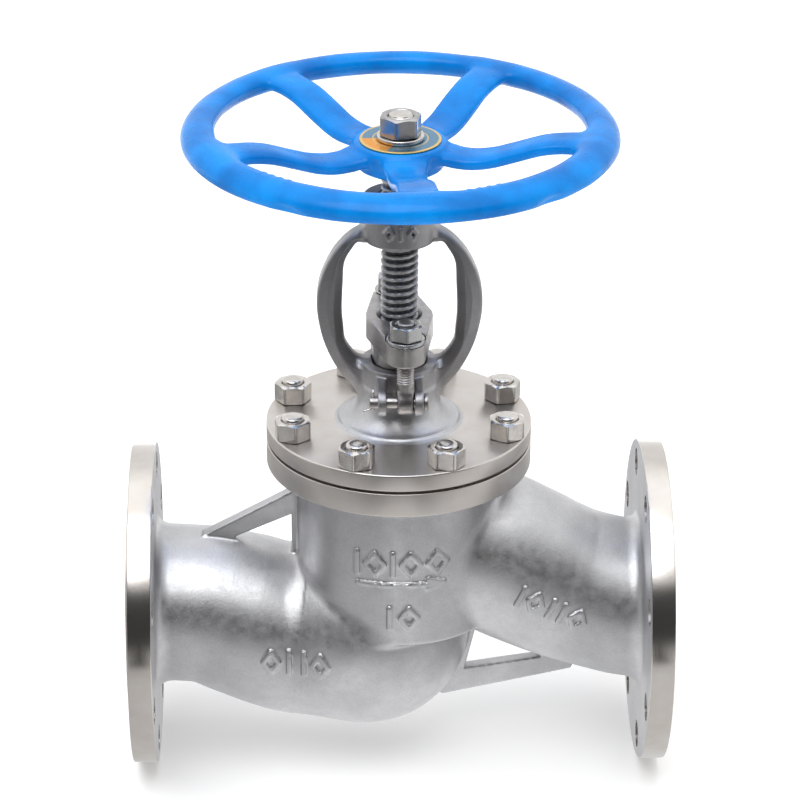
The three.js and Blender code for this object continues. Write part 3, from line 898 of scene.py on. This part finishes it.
def body_piece():
    piece = sculpted("valve_body", body_field, (-173, -106, -106), (173, 106, CHAMBER_TOP), CELL)
    top = turned("body_flange", [
        (CHAMBER_R, FLANGE_TOP), (JOINT_R[0], FLANGE_TOP), (JOINT_R[0], JOINT_TOP), (JOINT_R[1], JOINT_TOP),
        (JOINT_R[1], FLANGE_TOP), (COVER_R, FLANGE_TOP, 0.5), (COVER_R, BODY_FLANGE_LOW, 0.9),
        (72, BODY_FLANGE_LOW, 2), (CHAMBER_R, BODY_FLANGE_LOW - 0.6), (CHAMBER_R, FLANGE_TOP),
    ], 192)
    combine(piece, [end_flange(-1), end_flange(1), top], "UNION")
    holes = [*bolt_cutters("end_bolt", END_CIRCLE, END_HOLE_R, -200, -150, "X"),
             *bolt_cutters("end_bolt_b", END_CIRCLE, END_HOLE_R, 150, 200, "X"),
             *bolt_cutters("body_stud", STUD_CIRCLE, 7.5, FLANGE_TOP - 12, 200, "Z")]
    combine(piece, holes, "DIFFERENCE")
    return piece


def paint_machined(piece, rule):
    """Gives faces the material slot that rule(centre in mm) says."""
    mesh = piece.data
    centre = np.zeros(len(mesh.polygons) * 3, np.float32)
    mesh.polygons.foreach_get("center", centre)
    index = rule(centre.reshape(-1, 3) / MM)
    mesh.polygons.foreach_set("material_index", index.astype(np.int32))
    mesh.update()


def body_finish(centre):
    """Faces, rims and bores are machined; the backs of the flanges stay as cast."""
    x, y, z = centre.T
    across = np.hypot(y, z)
    back = FACE - RAISED_HIGH - RIM_THICK
    rim = (np.abs(x) > back + 0.3) & (across > 84)
    front = (np.abs(x) > FACE - RAISED_HIGH - 0.3) & (across > BORE_R - 1)
    bore = (np.abs(x) > FACE - 30) & (across < BORE_R + 0.3)
    top = (z > BODY_FLANGE_LOW + 0.3) & (np.hypot(x, y) > 60)
    return np.where(rim | front | bore, 1, np.where(top, 2, 0))


CELL = 0.95
body = body_piece()
place(body, "housing", "cast_steel", [CAST, TURNED_X, TURNED_Z], "body")
paint_machined(body, body_finish)


# ---- Bonnet and yoke ----------------------------------------------------------------------

def oval(half):
    """Closed outline from one side's points, bottom to top, mirrored."""
    right = spline(half, 60)
    return np.vstack([right, right[::-1] * (-1, 1)])


YOKE_OUTER = outline_table(oval([
    (12, 140), (20, 147), (33, 161.5), (41, 173), (47.5, 187.5), (51.3, 203), (52.4, 216),
    (51, 229), (47, 240.5), (40.5, 252), (31, 262), (20, 268),
]), (-60, 130), (60, 275))
YOKE_INNER = outline_table(oval([
    (6, 175.5), (16, 176), (26, 177.5), (34, 188), (35.5, 198), (36.4, 211), (35.8, 228),
    (34.8, 242.5), (30, 252), (25, 256.8), (10, 257.8),
]), (-60, 130), (60, 275))
HUB_MARKS = strokes_table(
    [diamond(-7.5, 269.5, 2.6, 3.6), bar(0, 269.5, 3.4), diamond(7.5, 269.5, 2.6, 3.6)],
    (-30, 255), (30, 285), 0.3)


def lug_field(x, y, z):
    """The four eyebolt lugs: rounded plates running out from the neck."""
    lug, middle, half = 8.6, 11.6, 2.75
    out = np.abs(y)
    level = np.abs(z - EYE_Z)
    drop = np.where(out < EYE_Y, level, np.hypot(out - EYE_Y, level)) - lug
    plate = overlap(drop, np.abs(np.abs(x) - middle) - half, 0.9)
    return overlap(plate, 12 - out, 1)


def bonnet_field(x, y, z):
    radial = np.hypot(x, y)
    foot = disc_field(radial, z, 79, COVER_LOW + 1.2, COVER_TOP - 1.2, 1)
    ring = disc_field(radial, z, 38.5, COVER_TOP - 5, COVER_TOP + 2.5, 0.9)
    slope = radial - (NECK_R + 11.5 * np.exp(-(z - 136.5) / 7.0))
    dome = overlap(overlap(slope * 0.75, z - 160, 2), COVER_TOP - 5 - z, 1)
    neck = disc_field(radial, z, NECK_R, COVER_TOP - 4, BOX_TOP, 1.2)
    hub = disc_field(radial, z, HUB_R, HUB_LOW, HUB_TOP, 1.6)
    outer, inner = YOKE_OUTER(x, z)[0], YOKE_INNER(x, z)[0]
    half = np.minimum(8.5, np.minimum(3.2 + np.clip(inner, 0, 9), 5.4 + 0.45 * np.clip(-outer, 0, 9)))
    arms = overlap(outer, -inner, 2.2)
    arms = overlap(arms, np.abs(y) - half, 1.6)
    solid = join(join(ring, dome, 1.5), neck, 2)
    solid = join(solid, lug_field(x, y, z), 2.2)
    solid = join(solid, arms, 4.5)
    solid = join(solid, hub, 5)
    solid = join(solid, foot, 0.8)
    solid = solid + waviness(x, y, z, 13, 0.15)
    solid = raised(solid, HUB_MARKS(x, z)[0] + 0.45, np.where(z > 250, -y, -1))
    bore = disc_field(radial, z, 18, 136, BOX_TOP + 12, 0.5)
    bore = np.minimum(bore, disc_field(radial, z, 17.4, HUB_LOW - 9, HUB_TOP + 9, 0.5))
    bore = np.minimum(bore, disc_field(radial, z, 12.8, 100, 140, 0.4))
    bore = np.minimum(bore, disc_field(radial, z, BUSH_POCKET_R, 100, 134, 0.4))
    pin = np.hypot(np.abs(y) - EYE_Y, z - EYE_Z) - 4.4
    screw = np.where(y > 0, np.hypot(x, z - 270) - 3.3, 50)
    bore = np.minimum(bore, np.minimum(pin, screw))
    return cut(solid, bore, 0.5)


def bonnet_piece():
    low, high = (-81, -81, COVER_LOW), (81, 81, HUB_TOP + 1.5)
    piece = sculpted("bonnet_casting", bonnet_field, low, high, CELL * 0.8)
    plate = turned("bonnet_plate", [
        (BUSH_POCKET_R, SPIGOT_LOW), (SPIGOT_R, SPIGOT_LOW, 1), (SPIGOT_R, COVER_LOW),
        (COVER_R, COVER_LOW, 0.9), (COVER_R, COVER_TOP, 1.2), (42, COVER_TOP, 1), (36, COVER_TOP - 0.5),
        (BUSH_POCKET_R, COVER_TOP - 1), (BUSH_POCKET_R, SPIGOT_LOW),
    ], 192)
    combine(piece, [plate], "UNION")
    combine(piece, [*bolt_cutters("cover_stud", STUD_CIRCLE, 7.8, 100, 145, "Z")], "DIFFERENCE")
    return piece


def bonnet_finish(centre):
    x, y, z = centre.T
    rim = (z < COVER_TOP + 0.35) & (np.hypot(x, y) > 38.9)
    return np.where(rim, 1, 0)


bonnet = bonnet_piece()
place(bonnet, "housing", "cast_steel", [YOKE, TURNED_Z], "bonnet")
paint_machined(bonnet, bonnet_finish)


# ---- Handwheel ----------------------------------------------------------------------------

SPOKE_LINE = spline([
    (10, 317.6), (29, 316.6), (37, 315.2), (47, 315.0), (58, 317.0), (68, 320.4), (84, 326.3),
    (92, 328.6), (102, 330.2), (114, 330.8), (125, 329.5),
], 44)


def rim_field(x, y, z):
    radial = np.hypot(x, y)
    u, v = radial - RIM_R, z - RIM_Z
    c, s = math.cos(-0.36), math.sin(-0.36)
    a, b = (u * c + v * s) / RIM_HALF[0], (-u * s + v * c) / RIM_HALF[1]
    level = np.hypot(a, b)
    slope = np.hypot(a / RIM_HALF[0], b / RIM_HALF[1])
    return level * (level - 1) / np.maximum(slope, 1e-6)


def spoke_field(along, across, z):
    """Flattened bar that follows SPOKE_LINE and widens into the rim and hub."""
    centre = np.interp(along, SPOKE_LINE[:, 0], SPOKE_LINE[:, 1])
    slope = np.interp(along, SPOKE_LINE[:, 0], np.gradient(SPOKE_LINE[:, 1], SPOKE_LINE[:, 0]))
    up = (z - centre) / np.sqrt(1 + slope**2)
    wide = 12.3 + 3.0 * np.exp(-((along - 118) / 8)**2) + 2.0 * np.exp(-((along - 26) / 8)**2)
    thick = 4.6
    a, b = np.abs(across) / wide, np.abs(up) / thick
    level = (a**3.2 + b**2.6) ** (1 / 2.9)
    bar_field = (level - 1) * thick
    return overlap(overlap(bar_field, along - 124, 1), -along, 1)


WHEEL_HUB = ((WHEEL_HUB_LOW, 21), (307, 26.5), (308, 27.4), (317, 27.4), (320.5, 29.2),
             (WHEEL_HUB_TOP, 28.6))     # height and radius
RIM_MARKS = (-2.35, -1.25)              # where the short raised bars start, in radians


def wheel_field(x, y, z):
    radial = np.hypot(x, y)
    rim = rim_field(x, y, z)
    angle = np.arctan2(y, x) - WHEEL_TURN
    sector = TAU / 5
    local = angle - sector * np.round(angle / sector)
    spoke = spoke_field(radial * np.cos(local), radial * np.sin(local), z)
    hub_r = np.interp(z, *zip(*WHEEL_HUB))
    hub = overlap((radial - hub_r) * 0.9, slab(z, WHEEL_HUB_LOW, WHEEL_HUB_TOP), 1.5)
    solid = join(join(hub, spoke, 3.5), rim, 5)
    half = TAU / 10
    grip = angle + half - sector * np.round((angle + half) / sector)
    dent = np.sqrt((RIM_R * np.sin(grip) / 15)**2 + ((radial - 142) / 10)**2 + ((z - 321) / 9)**2)
    solid = cut(solid, (dent - 1) * 9, 2.0)
    turn = np.arctan2(y, x)
    for first in RIM_MARKS:
        for i in range(4):
            at = turn - first - 0.055 * i
            out, over = radial * np.cos(at) - 121, radial * np.sin(at)
            bump = np.sqrt((out / 2.6)**2 + over**2 + (z - 335.2)**2) - 1.6
            solid = join(solid, np.where(np.cos(at) > 0, bump, 50), 1.0)
    solid = solid + waviness(x, y, z, 9, 0.13)
    flat = z - WHEEL_HUB_TOP
    solid = np.where(radial < 29, np.maximum(solid, flat), solid)
    return cut(solid, radial - 8.9, 0.6)


def handwheel_piece():
    low, high = (-140, -140, WHEEL_HUB_LOW - 2), (140, 140, 342)
    return sculpted("handwheel_casting", wheel_field, low, high, CELL * 1.05)


place(handwheel_piece(), "spindle", "blue_enamel", ENAMEL, "handwheel", smooth=60)


# ---- Threads, nuts and washers ------------------------------------------------------------

def thread_height(phase, shape):
    """Height 0 to 1 over one pitch: 'square' has flat crests and roots, 'vee' is pointed."""
    saw = np.abs(2 * (phase - np.floor(phase)) - 1)
    if shape == "square":
        return np.clip((saw - 0.34) / 0.32, 0, 1)
    return np.clip((saw - 0.06) / 0.88, 0, 1)


def skin(rows, segments, closed=False):
    """Faces between rings of points, each ring joined to the next one."""
    faces = []
    for row in range(rows if closed else rows - 1):
        near, far = row * segments, (row + 1) % rows * segments
        for i in range(segments):
            j = (i + 1) % segments
            faces.append([near + i, near + j, far + j, far + i])
    return faces


def shaft(name, stations, threads=(), segments=64, centre=(0, 0)):
    """Round bar through rows (z, radius). Each thread is (low, high, pitch, depth, shape)."""
    rows = np.array(stations, float)
    levels = list(rows[:, 0])
    for low, high, pitch, *_ in threads:
        levels.extend(np.arange(low, high, pitch / 14))
    levels = np.unique(np.round(levels, 4))
    angle = np.linspace(0, TAU, segments, endpoint=False)
    radius = np.interp(levels, rows[:, 0], rows[:, 1])[:, None] * np.ones(segments)
    for low, high, pitch, depth, shape in threads:
        phase = levels[:, None] / pitch - angle[None] / TAU
        fade = np.clip(np.minimum((levels - low) / pitch, (high - levels) / pitch * 1.5), 0, 1)[:, None]
        radius -= depth * (1 - thread_height(phase, shape)) * fade
    x = centre[0] + radius * np.cos(angle)
    y = centre[1] + radius * np.sin(angle)
    z = np.repeat(levels[:, None], segments, 1)
    points = np.stack([x, y, z], -1).reshape(-1, 3)
    faces = skin(len(levels), segments)
    points = np.vstack([points, [(*centre, levels[0]), (*centre, levels[-1])]])
    base, top = len(points) - 2, len(points) - 1
    last = (len(levels) - 1) * segments
    for a in range(segments):
        b = (a + 1) % segments
        faces.append([base, b, a])
        faces.append([top, last + a, last + b])
    return mesh_object(name, points, faces)


def domed(low, high, r, chamfer=1.2, dome=1.1):
    """Stations of a plain bar with a chamfered foot and a domed end."""
    stations = [(low, r - chamfer), (low + chamfer, r), (high - dome - 0.8, r)]
    for t in np.linspace(0, 1, 7)[1:]:
        stations.append((high - dome - 0.8 + (dome + 0.8) * math.sin(t * math.pi / 2), r - r * 0.75 * t**3))
    return stations


def hex_nut(name, across, low, high, bore, segments=180):
    """Hexagon nut with a coned crown, a slightly coned foot and a countersunk bore."""
    angle = np.linspace(0, TAU, segments, endpoint=False)
    sector = math.pi / 3
    local = angle - sector * np.round(angle / sector)
    flat = across / 2 / np.cos(local)
    corner = across / math.sqrt(3)
    limit = corner - 0.45
    side = -np.log(np.exp(-(flat - limit) * 5) + 1) / 5 + limit
    side = np.minimum(side, flat)
    face_r = across / 2 * 0.94
    rows = []

    def crown(r, end, sign):
        drop = np.maximum(0, r - face_r) * math.tan(math.radians(29))
        return end - sign * drop

    rows.append((bore, np.full(segments, low + 0.9)))
    rows.append((bore + 0.9, np.full(segments, low)))
    rows.append((face_r, np.full(segments, low)))
    for share in (0.5, 1.0):
        r = face_r + (side - face_r) * share
        rows.append((r, crown(r, low, -0.35)))
    for share in (1.0, 0.75, 0.5, 0.25, 0.0):
        r = face_r + (side - face_r) * share
        rows.append((r, crown(r, high, 1)))
    rows.append((face_r - 0.5, np.full(segments, high)))
    rows.append((bore + 0.9, np.full(segments, high)))
    rows.append((bore, np.full(segments, high - 0.9)))
    points = []
    for r, z in rows:
        r = np.broadcast_to(r, angle.shape)
        points.append(np.stack([r * np.cos(angle), r * np.sin(angle), z], -1))
    points = np.vstack(points)
    faces = skin(len(rows), segments, closed=True)
    piece = mesh_object(name, points, faces)
    outward(piece)
    return piece


def washer(name, inner, outer, low, high, edge=0.5, segments=96):
    return turned(name, [
        (inner, low, 0), (outer, low, edge * 0.5), (outer, high, edge),
        (inner, high, edge * 0.6), (inner, low, 0),
    ], segments)


for i, (x, y) in enumerate(bolt_spots(STUD_CIRCLE), 1):
    low, high = heights(f"bonnet_stud_{i}")
    thread = [(124, high - 3.4, 2.0, 0.6, "vee")]
    stud = shaft(f"stud_{i}", domed(low, high - 0.9, 6.8, dome=1.6), thread, 48)
    place(moved(stud, (x, y, 0)), "housing", "bright_steel", BRIGHT, f"bonnet_stud_{i}", smooth=40)
    nut = hex_nut(f"cover_nut_{i}", 21.5, *heights(f"bonnet_nut_{i}"), 7.05)
    turn = math.radians(11 + 37 * (i - 1)) + math.pi / 6
    place(moved(nut, (x, y, 0), turn), "housing", "bright_steel", BRIGHT, f"bonnet_nut_{i}", smooth=25)


# ---- Stem and its nut ---------------------------------------------------------------------

def stem_piece():
    low, top = heights("stem")
    square_top = WHEEL_HUB_TOP - 1.7
    back_seat, bar_r, neck_r, square_r, end_r = 120.5, 11.9, 11.2, 8.4, 7.9
    collar = back_seat - travel("disc_lift") - 0.3
    stations = [
        (low, 13.5), (low + 1.4, 15), (low + 9, 15), (low + 10, neck_r), (72.5, neck_r), (75.5, bar_r),
        (collar - 9, bar_r), (collar - 7, 16.4), (collar - 3, 16.4), (collar, bar_r), (300.5, bar_r),
        (WHEEL_HUB_LOW - 0.35, neck_r), (WHEEL_HUB_LOW - 0.2, square_r), (square_top, square_r),
        (square_top + 0.6, end_r), (top - 1.6, end_r), (top - 0.5, 6.9), (top, 5.0),
    ]
    threads = [(196.5, 301, 5.0, 2.1, "square"), (326, top - 0.6, 2.0, 0.8, "vee")]
    return shaft("stem_bar", stations, threads, 96)


stem = place(stem_piece(), "spindle", "stem_steel", [THREAD, BRIGHT], "stem", smooth=35)
paint_machined(stem, lambda centre: np.where(centre[:, 2] > 305, 1, 0))

bush_r, sleeve_r, head_r, top = 12.2, 16.9, 23.5, heights("stem_nut")[1]
stem_nut = turned("yoke_bush", [
    (bush_r, HUB_LOW - 1, 0.5), (sleeve_r, HUB_LOW - 1, 0.8), (sleeve_r, HUB_TOP + 0.3, 0.2),
    (head_r, HUB_TOP + 0.3, 0.8), (head_r, top, 1.6), (14.5, top, 0.8), (bush_r, top - 2, 0.5),
    (bush_r, HUB_LOW - 1, 0.5),
], 96)
place(stem_nut, "housing", "dark_steel", DARK, "stem_nut")


# ---- Gland, eyebolts and their pins -------------------------------------------------------

GLAND_LOW, PLATE_TOP = heights("gland")
PLATE_LOW, SPOT_FACE = 190.6, 204.0
GLAND_BOSS = 12.3


def gland_outline():
    """Bosses at both ends with straight flanks to a shoulder each side of the stem."""
    half, shoulder = 21.3, 3.0
    reach = np.array((half, EYE_Y - shoulder))
    lean = math.acos(GLAND_BOSS / np.hypot(*reach)) - math.atan2(reach[1], reach[0])
    front = [(GLAND_BOSS * math.cos(a), -EYE_Y + GLAND_BOSS * math.sin(a))
             for a in np.linspace(math.pi + lean, TAU - lean, 24)]
    return front + [(half, -shoulder), (half, shoulder)] + [(-x, -y) for x, y in front] \
        + [(-half, shoulder), (-half, -shoulder)]


GLAND_PLAN = outline_table(gland_outline(), (-30, -58), (30, 58), 0.4)


def gland_field(x, y, z):
    plan = GLAND_PLAN(x, y)[0]
    radial = np.hypot(x, y)
    boss = np.hypot(x, np.abs(y) - EYE_Y)
    plate = overlap(plan, slab(z, PLATE_LOW, PLATE_TOP), 1.2)
    barrel = disc_field(radial, z, 17.2, GLAND_LOW, PLATE_LOW + 4, 0.8)
    solid = join(plate, barrel, 1.2)
    spot = disc_field(boss, z, 13.0, SPOT_FACE, PLATE_TOP + 9, 0.4)
    bore = radial - (12.6 + 1.9 * np.clip((z - (PLATE_TOP - 3.2)) / 3.2, 0, 1))
    holes = np.minimum(bore, boss - 6.5)
    return cut(cut(solid, spot, 0.6), holes, 0.5)


def gland_piece():
    low, high = (-24, -54, GLAND_LOW - 1.5), (24, 54, PLATE_TOP + 1.5)
    return moved(sculpted("gland_follower", gland_field, low, high, CELL * 0.62), turn=GLAND_TURN)


place(gland_piece(), "follower", "forged_steel", FORGED, "gland", smooth=40)


def bent_wire(name, route, radius, segments=14):
    """Round wire through points in millimetres, closed with rounded ends."""
    path = spline(route, len(route) * 7)
    tangent = np.gradient(path, axis=0)
    tangent /= np.linalg.norm(tangent, axis=1)[:, None]
    normal = np.cross(tangent[0], (0.31, 0.87, 0.39))
    points, angle = [], np.linspace(0, TAU, segments, endpoint=False)
    for i, (p, t) in enumerate(zip(path, tangent)):
        normal = normal - (normal @ t) * t
        normal /= np.linalg.norm(normal)
        other = np.cross(t, normal)
        end = min(i, len(path) - 1 - i)
        r = radius * (0.55 if end == 0 else 0.9 if end == 1 else 1)
        points.append(p + r * (np.cos(angle)[:, None] * normal + np.sin(angle)[:, None] * other))
    points = np.vstack(points)
    faces = skin(len(path), segments)
    faces.append(list(range(segments))[::-1])
    faces.append([(len(path) - 1) * segments + j for j in range(segments)])
    piece = mesh_object(name, points, faces)
    outward(piece)
    return piece


EYE_R, EYE_HALF, EYE_HOLE_R, SHANK_R = 7.8, 4.9, 4.3, 5.5


def eyebolt_field(x, y, z, spot):
    """Forged eye flowing into a round shank; y is measured towards the outside."""
    eye = overlap(np.hypot(y - EYE_Y, z - EYE_Z) - EYE_R, np.abs(x - spot) - EYE_HALF, 1.8)
    across = np.hypot(x - spot, y - EYE_Y * math.cos(GLAND_TURN))
    shank = overlap(across - SHANK_R, np.abs(z - 167.5) - 8, 0.5)
    return cut(join(eye, shank, 3), np.hypot(y - EYE_Y, z - EYE_Z) - EYE_HOLE_R, 0.5)


def eyebolt_piece(label, side, spot, top):
    """Eye and threaded rod. The field is made for the far side and turned for the near one."""
    rod = shaft(f"eye_rod_{label}", [(173, 5.0), (173.6, SHANK_R), *domed(175, top, SHANK_R, 0.05)[1:]],
                [(176, top - 1.8, 1.75, 0.75, "vee")], 48, spot)
    away = abs(spot[0])
    eye = sculpted(f"eyebolt_body_{label}", lambda x, y, z: eyebolt_field(x, y, z, -away),
                   (-13, 26, 150), (8, 51, 181), CELL * 0.5)
    if side < 0:
        eye.data.transform(Matrix.Rotation(math.pi, 4, "Z"))
    return combine(eye, [rod], "UNION")


def lug_pin(label, side):
    pin = turned(f"lug_pin_{label}", [
        (0, -19.6), (3.9, -19.6, 0.8), (3.9, 14.95, 0.2), (5.7, 14.95, 0.4), (5.7, 17.5, 1.0), (0, 17.5),
    ], 48, "X")
    return moved(pin, (0, side * EYE_Y, EYE_Z), math.pi if side > 0 else 0)


def split_pin(label, side):
    """A looped head above the bolt pin and two legs spread below it."""
    x, y, z = side * 17.2, side * EYE_Y, EYE_Z
    legs = [(x, y - 0.8, z + 6), (x, y - 0.6, z + 3), (x, y - 0.5, z - 3.2),
            (x + side * 1.8, y - 0.7, z - 4.3), (x + side * 6.6, y - 1.2, z - 5.9)]
    other = [(x, y + 0.8, z + 6), (x, y + 0.6, z + 3), (x, y + 0.5, z - 3.2),
             (x - side * 0.2, y + 1.0, z - 4.6), (x - side * 0.5, y + 3.2, z - 6.6)]
    loop = [(x, y - 0.8, z + 5.6), (x, y - 1.8, z + 7.2), (x, y, z + 8.8), (x, y + 1.8, z + 7.2),
            (x, y + 0.8, z + 5.6)]
    wires = [bent_wire(f"wire_{label}_{n}", route, 0.7) for n, route in enumerate((legs, other, loop))]
    return merged(f"split_pin_{label}", wires)


for label, side in (("front", -1), ("back", 1)):
    spot = (-side * EYE_Y * math.sin(GLAND_TURN), side * EYE_Y * math.cos(GLAND_TURN))
    eyebolt = eyebolt_piece(label, side, spot, heights(f"eyebolt_{label}")[1])
    place(eyebolt, "housing", "forged_steel", FORGED, f"eyebolt_{label}", smooth=40)
    place(lug_pin(label, side), "housing", "forged_steel", FORGED, f"eyebolt_pin_{label}")
    place(split_pin(label, side), "housing", "bright_steel", BRIGHT, f"cotter_pin_{label}")
    ring = washer(f"eyebolt_washer_{label}", 6.2, 12, *heights(f"gland_washer_{label}"), 0.7)
    place(moved(ring, (*spot, 0)), "follower", "bright_steel", NUTS, f"gland_washer_{label}")
    nut = hex_nut(f"eyebolt_nut_{label}", 19.2, *heights(f"gland_nut_{label}"), 5.65)
    turn = math.radians(side * 25) + math.pi / 6
    moved(nut, (*spot, 0), turn)
    place(nut, f"{label}_nut", "bright_steel", NUTS, f"gland_nut_{label}", smooth=25)


# ---- Nameplate, washer and nut on the stem top --------------------------------------------

low, high = heights("nameplate")
plate = turned("wheel_plate", [
    (8.6, low), (PLATE_R, low, 0.2), (PLATE_R, high, 0.4), (8.6, high, 0.1), (8.6, low),
], 128)
place(plate, "spindle", "plate", PRINT, "nameplate")
ring = washer("stem_washer", 8.6, 15, *heights("wheel_washer"), 0.9)
place(ring, "spindle", "bright_steel", BRIGHT, "wheel_washer")
nut = moved(hex_nut("stem_top_nut", 24, *heights("wheel_nut"), 8.05), turn=math.radians(-14))
place(nut, "spindle", "bright_steel", NUTS, "wheel_nut", smooth=25)


# ---- Packing rings, each with a mesh of its own; the packing shortens as the gland is taken up ---

for i in range(1, 6):
    low, high = corners(f"packing_ring_{i}")
    ring = washer(f"gland_packing_{i}", 12.3, high[0] - 0.05, low[2], high[2], 0.3)
    place(ring, "housing", "graphite", GRAPHITE, f"packing_ring_{i}")
    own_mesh(ring)


# ---- CAD pieces that stay -----------------------------------------------------------------

KEPT = {
    "seat_ring": INNER, "disc": INNER, "disc_nut": INNER, "backseat_bush": INNER, "packing_washer": INNER,
    "bonnet_gasket": GRAPHITE, "grub_screw": DARK,
}
for node, material in KEPT.items():
    kept = frame["nodes"][node]
    kept.data.materials.clear()
    kept.data.materials.append(material)


# ---- Camera, floor and light --------------------------------------------------------------

def camera():
    """View from the front, a little above, with a long lens."""
    azimuth, elevation, roll = (math.radians(a) for a in (-1.62, 25.47, 0.36))
    distance, target = 2251.5 * MM, Vector((0.72, 0, 145.38)) * MM
    back = Vector((math.sin(azimuth) * math.cos(elevation), -math.cos(azimuth) * math.cos(elevation),
                   math.sin(elevation)))
    right = Vector((math.cos(azimuth), math.sin(azimuth), 0))
    up = back.cross(right)
    axes = (math.cos(roll) * right + math.sin(roll) * up, math.cos(roll) * up - math.sin(roll) * right, back)
    data = bpy.data.cameras.new("camera")
    data.sensor_width, data.lens = 36, 158.2
    data.clip_start, data.clip_end = 0.05, 50
    view = add_object("camera", data)
    view.matrix_world = Matrix.Translation(target + back * distance) @ Matrix(axes).transposed().to_4x4()
    bpy.context.scene.camera = view


def card(name, low, high, height):
    """A level rectangle between two corners, in metres."""
    spots = [(low[0], low[1]), (high[0], low[1]), (high[0], high[1]), (low[0], high[1])]
    mesh = bpy.data.meshes.new(name)
    mesh.from_pydata([(x, y, height) for x, y in spots], [], [(0, 1, 2, 3)])
    return add_object(name, mesh)


def floor():
    """Plain white floor that glows faintly."""
    size = 6.0
    ground = card("floor", (-size, -size), (size, size), body_low[2] * MM - 0.0005)
    looks = Looks("floor_white", Base_Color=(0.93, 0.93, 0.93, 1), Roughness=0.7,
                  Emission_Color=(1, 1, 1, 1), Emission_Strength=0.16)
    ground.data.materials.append(looks.material)


REFLECTED = [(-2.0, 0.12), (-1.0, 0.38), (-0.65, 0.62), (-0.35, 0.92), (-0.1, 1.0), (0.15, 1.0), (0.5, 0.7)]


def reflector():
    """The table top as the steel's gloss sees it: bright close by, less so far off and at the ends."""
    first, span = -6.0, 6.6
    table = card("reflector", (-3, first), (3, first + span), body_low[2] * MM - 0.0003)
    looks = Looks("reflector_cards")
    split = looks.split()
    depth = looks.scaled(split["Y"], 0, 1, first, first + span)
    tones = looks.ramp(depth, *[((y - first) / span, (level,)) for y, level in REFLECTED])
    across = looks.scaled(split["X"], 0, 1, -0.5, 0.5)
    sides = looks.ramp(across, (0.0, (0.5,)), (0.3, (0.65,)), (0.38, (0.72,)), (0.42, (1.0,)),
                       (0.58, (1.0,)), (0.62, (0.75,)), (1.0, (0.9,)))
    glow = looks.add("ShaderNodeEmission")
    ends = looks.ramp(across, (0.24, (0.0,)), (0.27, (1.0,)), (0.36, (1.0,)), (0.38, (0.0,)), (0.62, (0.0,)),
                      (0.64, (1.0,)), (0.73, (1.0,)), (0.76, (0.0,)))
    far = looks.scaled(split["Y"], 0.88, 0, -0.46, -0.40)
    shade = looks.blend(looks.blend(1.0, ends, far, "MULTIPLY"), (1.0, 1.0, 1.0), (0.0, 0.0, 0.0))
    lit = looks.blend(1.0, tones, sides, "MULTIPLY")
    looks.wire(looks.blend(1.0, lit, shade, "MULTIPLY"), glow.inputs["Color"])
    output = looks.tree.nodes["Material Output"]
    looks.wire(glow.outputs[0], output.inputs["Surface"])
    table.data.materials.append(looks.material)
    for ray in ("camera", "diffuse", "shadow", "transmission"):
        setattr(table, f"visible_{ray}", False)


def sun(azimuth, elevation, strength, spread):
    """Soft key light from a bearing and a height, in degrees."""
    data = bpy.data.lights.new("key", "SUN")
    data.energy, data.angle = strength, math.radians(spread)
    lamp = add_object("key", data)
    a, e = math.radians(azimuth), math.radians(elevation)
    towards = Vector((math.cos(a) * math.cos(e), math.sin(a) * math.cos(e), math.sin(e)))
    lamp.rotation_mode = "QUATERNION"
    lamp.rotation_quaternion = towards.to_track_quat("Z", "Y")


def world(walls, overhead, opening):
    """White tent, brightest overhead, with a dark opening low in front."""
    surroundings = bpy.data.worlds.new("studio")
    surroundings.use_nodes = True
    bpy.context.scene.world = surroundings
    nodes = Nodes(surroundings.node_tree, "Generated")
    split = nodes.split()
    low_down = nodes.scaled(split["Z"], 1, 0, 0.55, 0.70)
    facing = nodes.scaled(split["Y"], 1, 0, -0.55, -0.15)
    in_front = nodes.worked_out("MULTIPLY", low_down, facing)
    tent = nodes.scaled(split["Z"], walls, overhead, 0.62, 0.84)
    level = nodes.worked_out("MULTIPLY", tent, nodes.scaled(in_front, 1, opening, 0, 1))
    background = nodes.tree.nodes["Background"]
    nodes.wire(level, background.inputs["Strength"])
    background.inputs["Color"].default_value = (1, 1, 1, 1)


camera()
floor()
reflector()
world(1.0, 1.45, 0.05)
sun(-110, 65, 1.3, 45)

bpy.context.scene.view_settings.view_transform = "Standard"
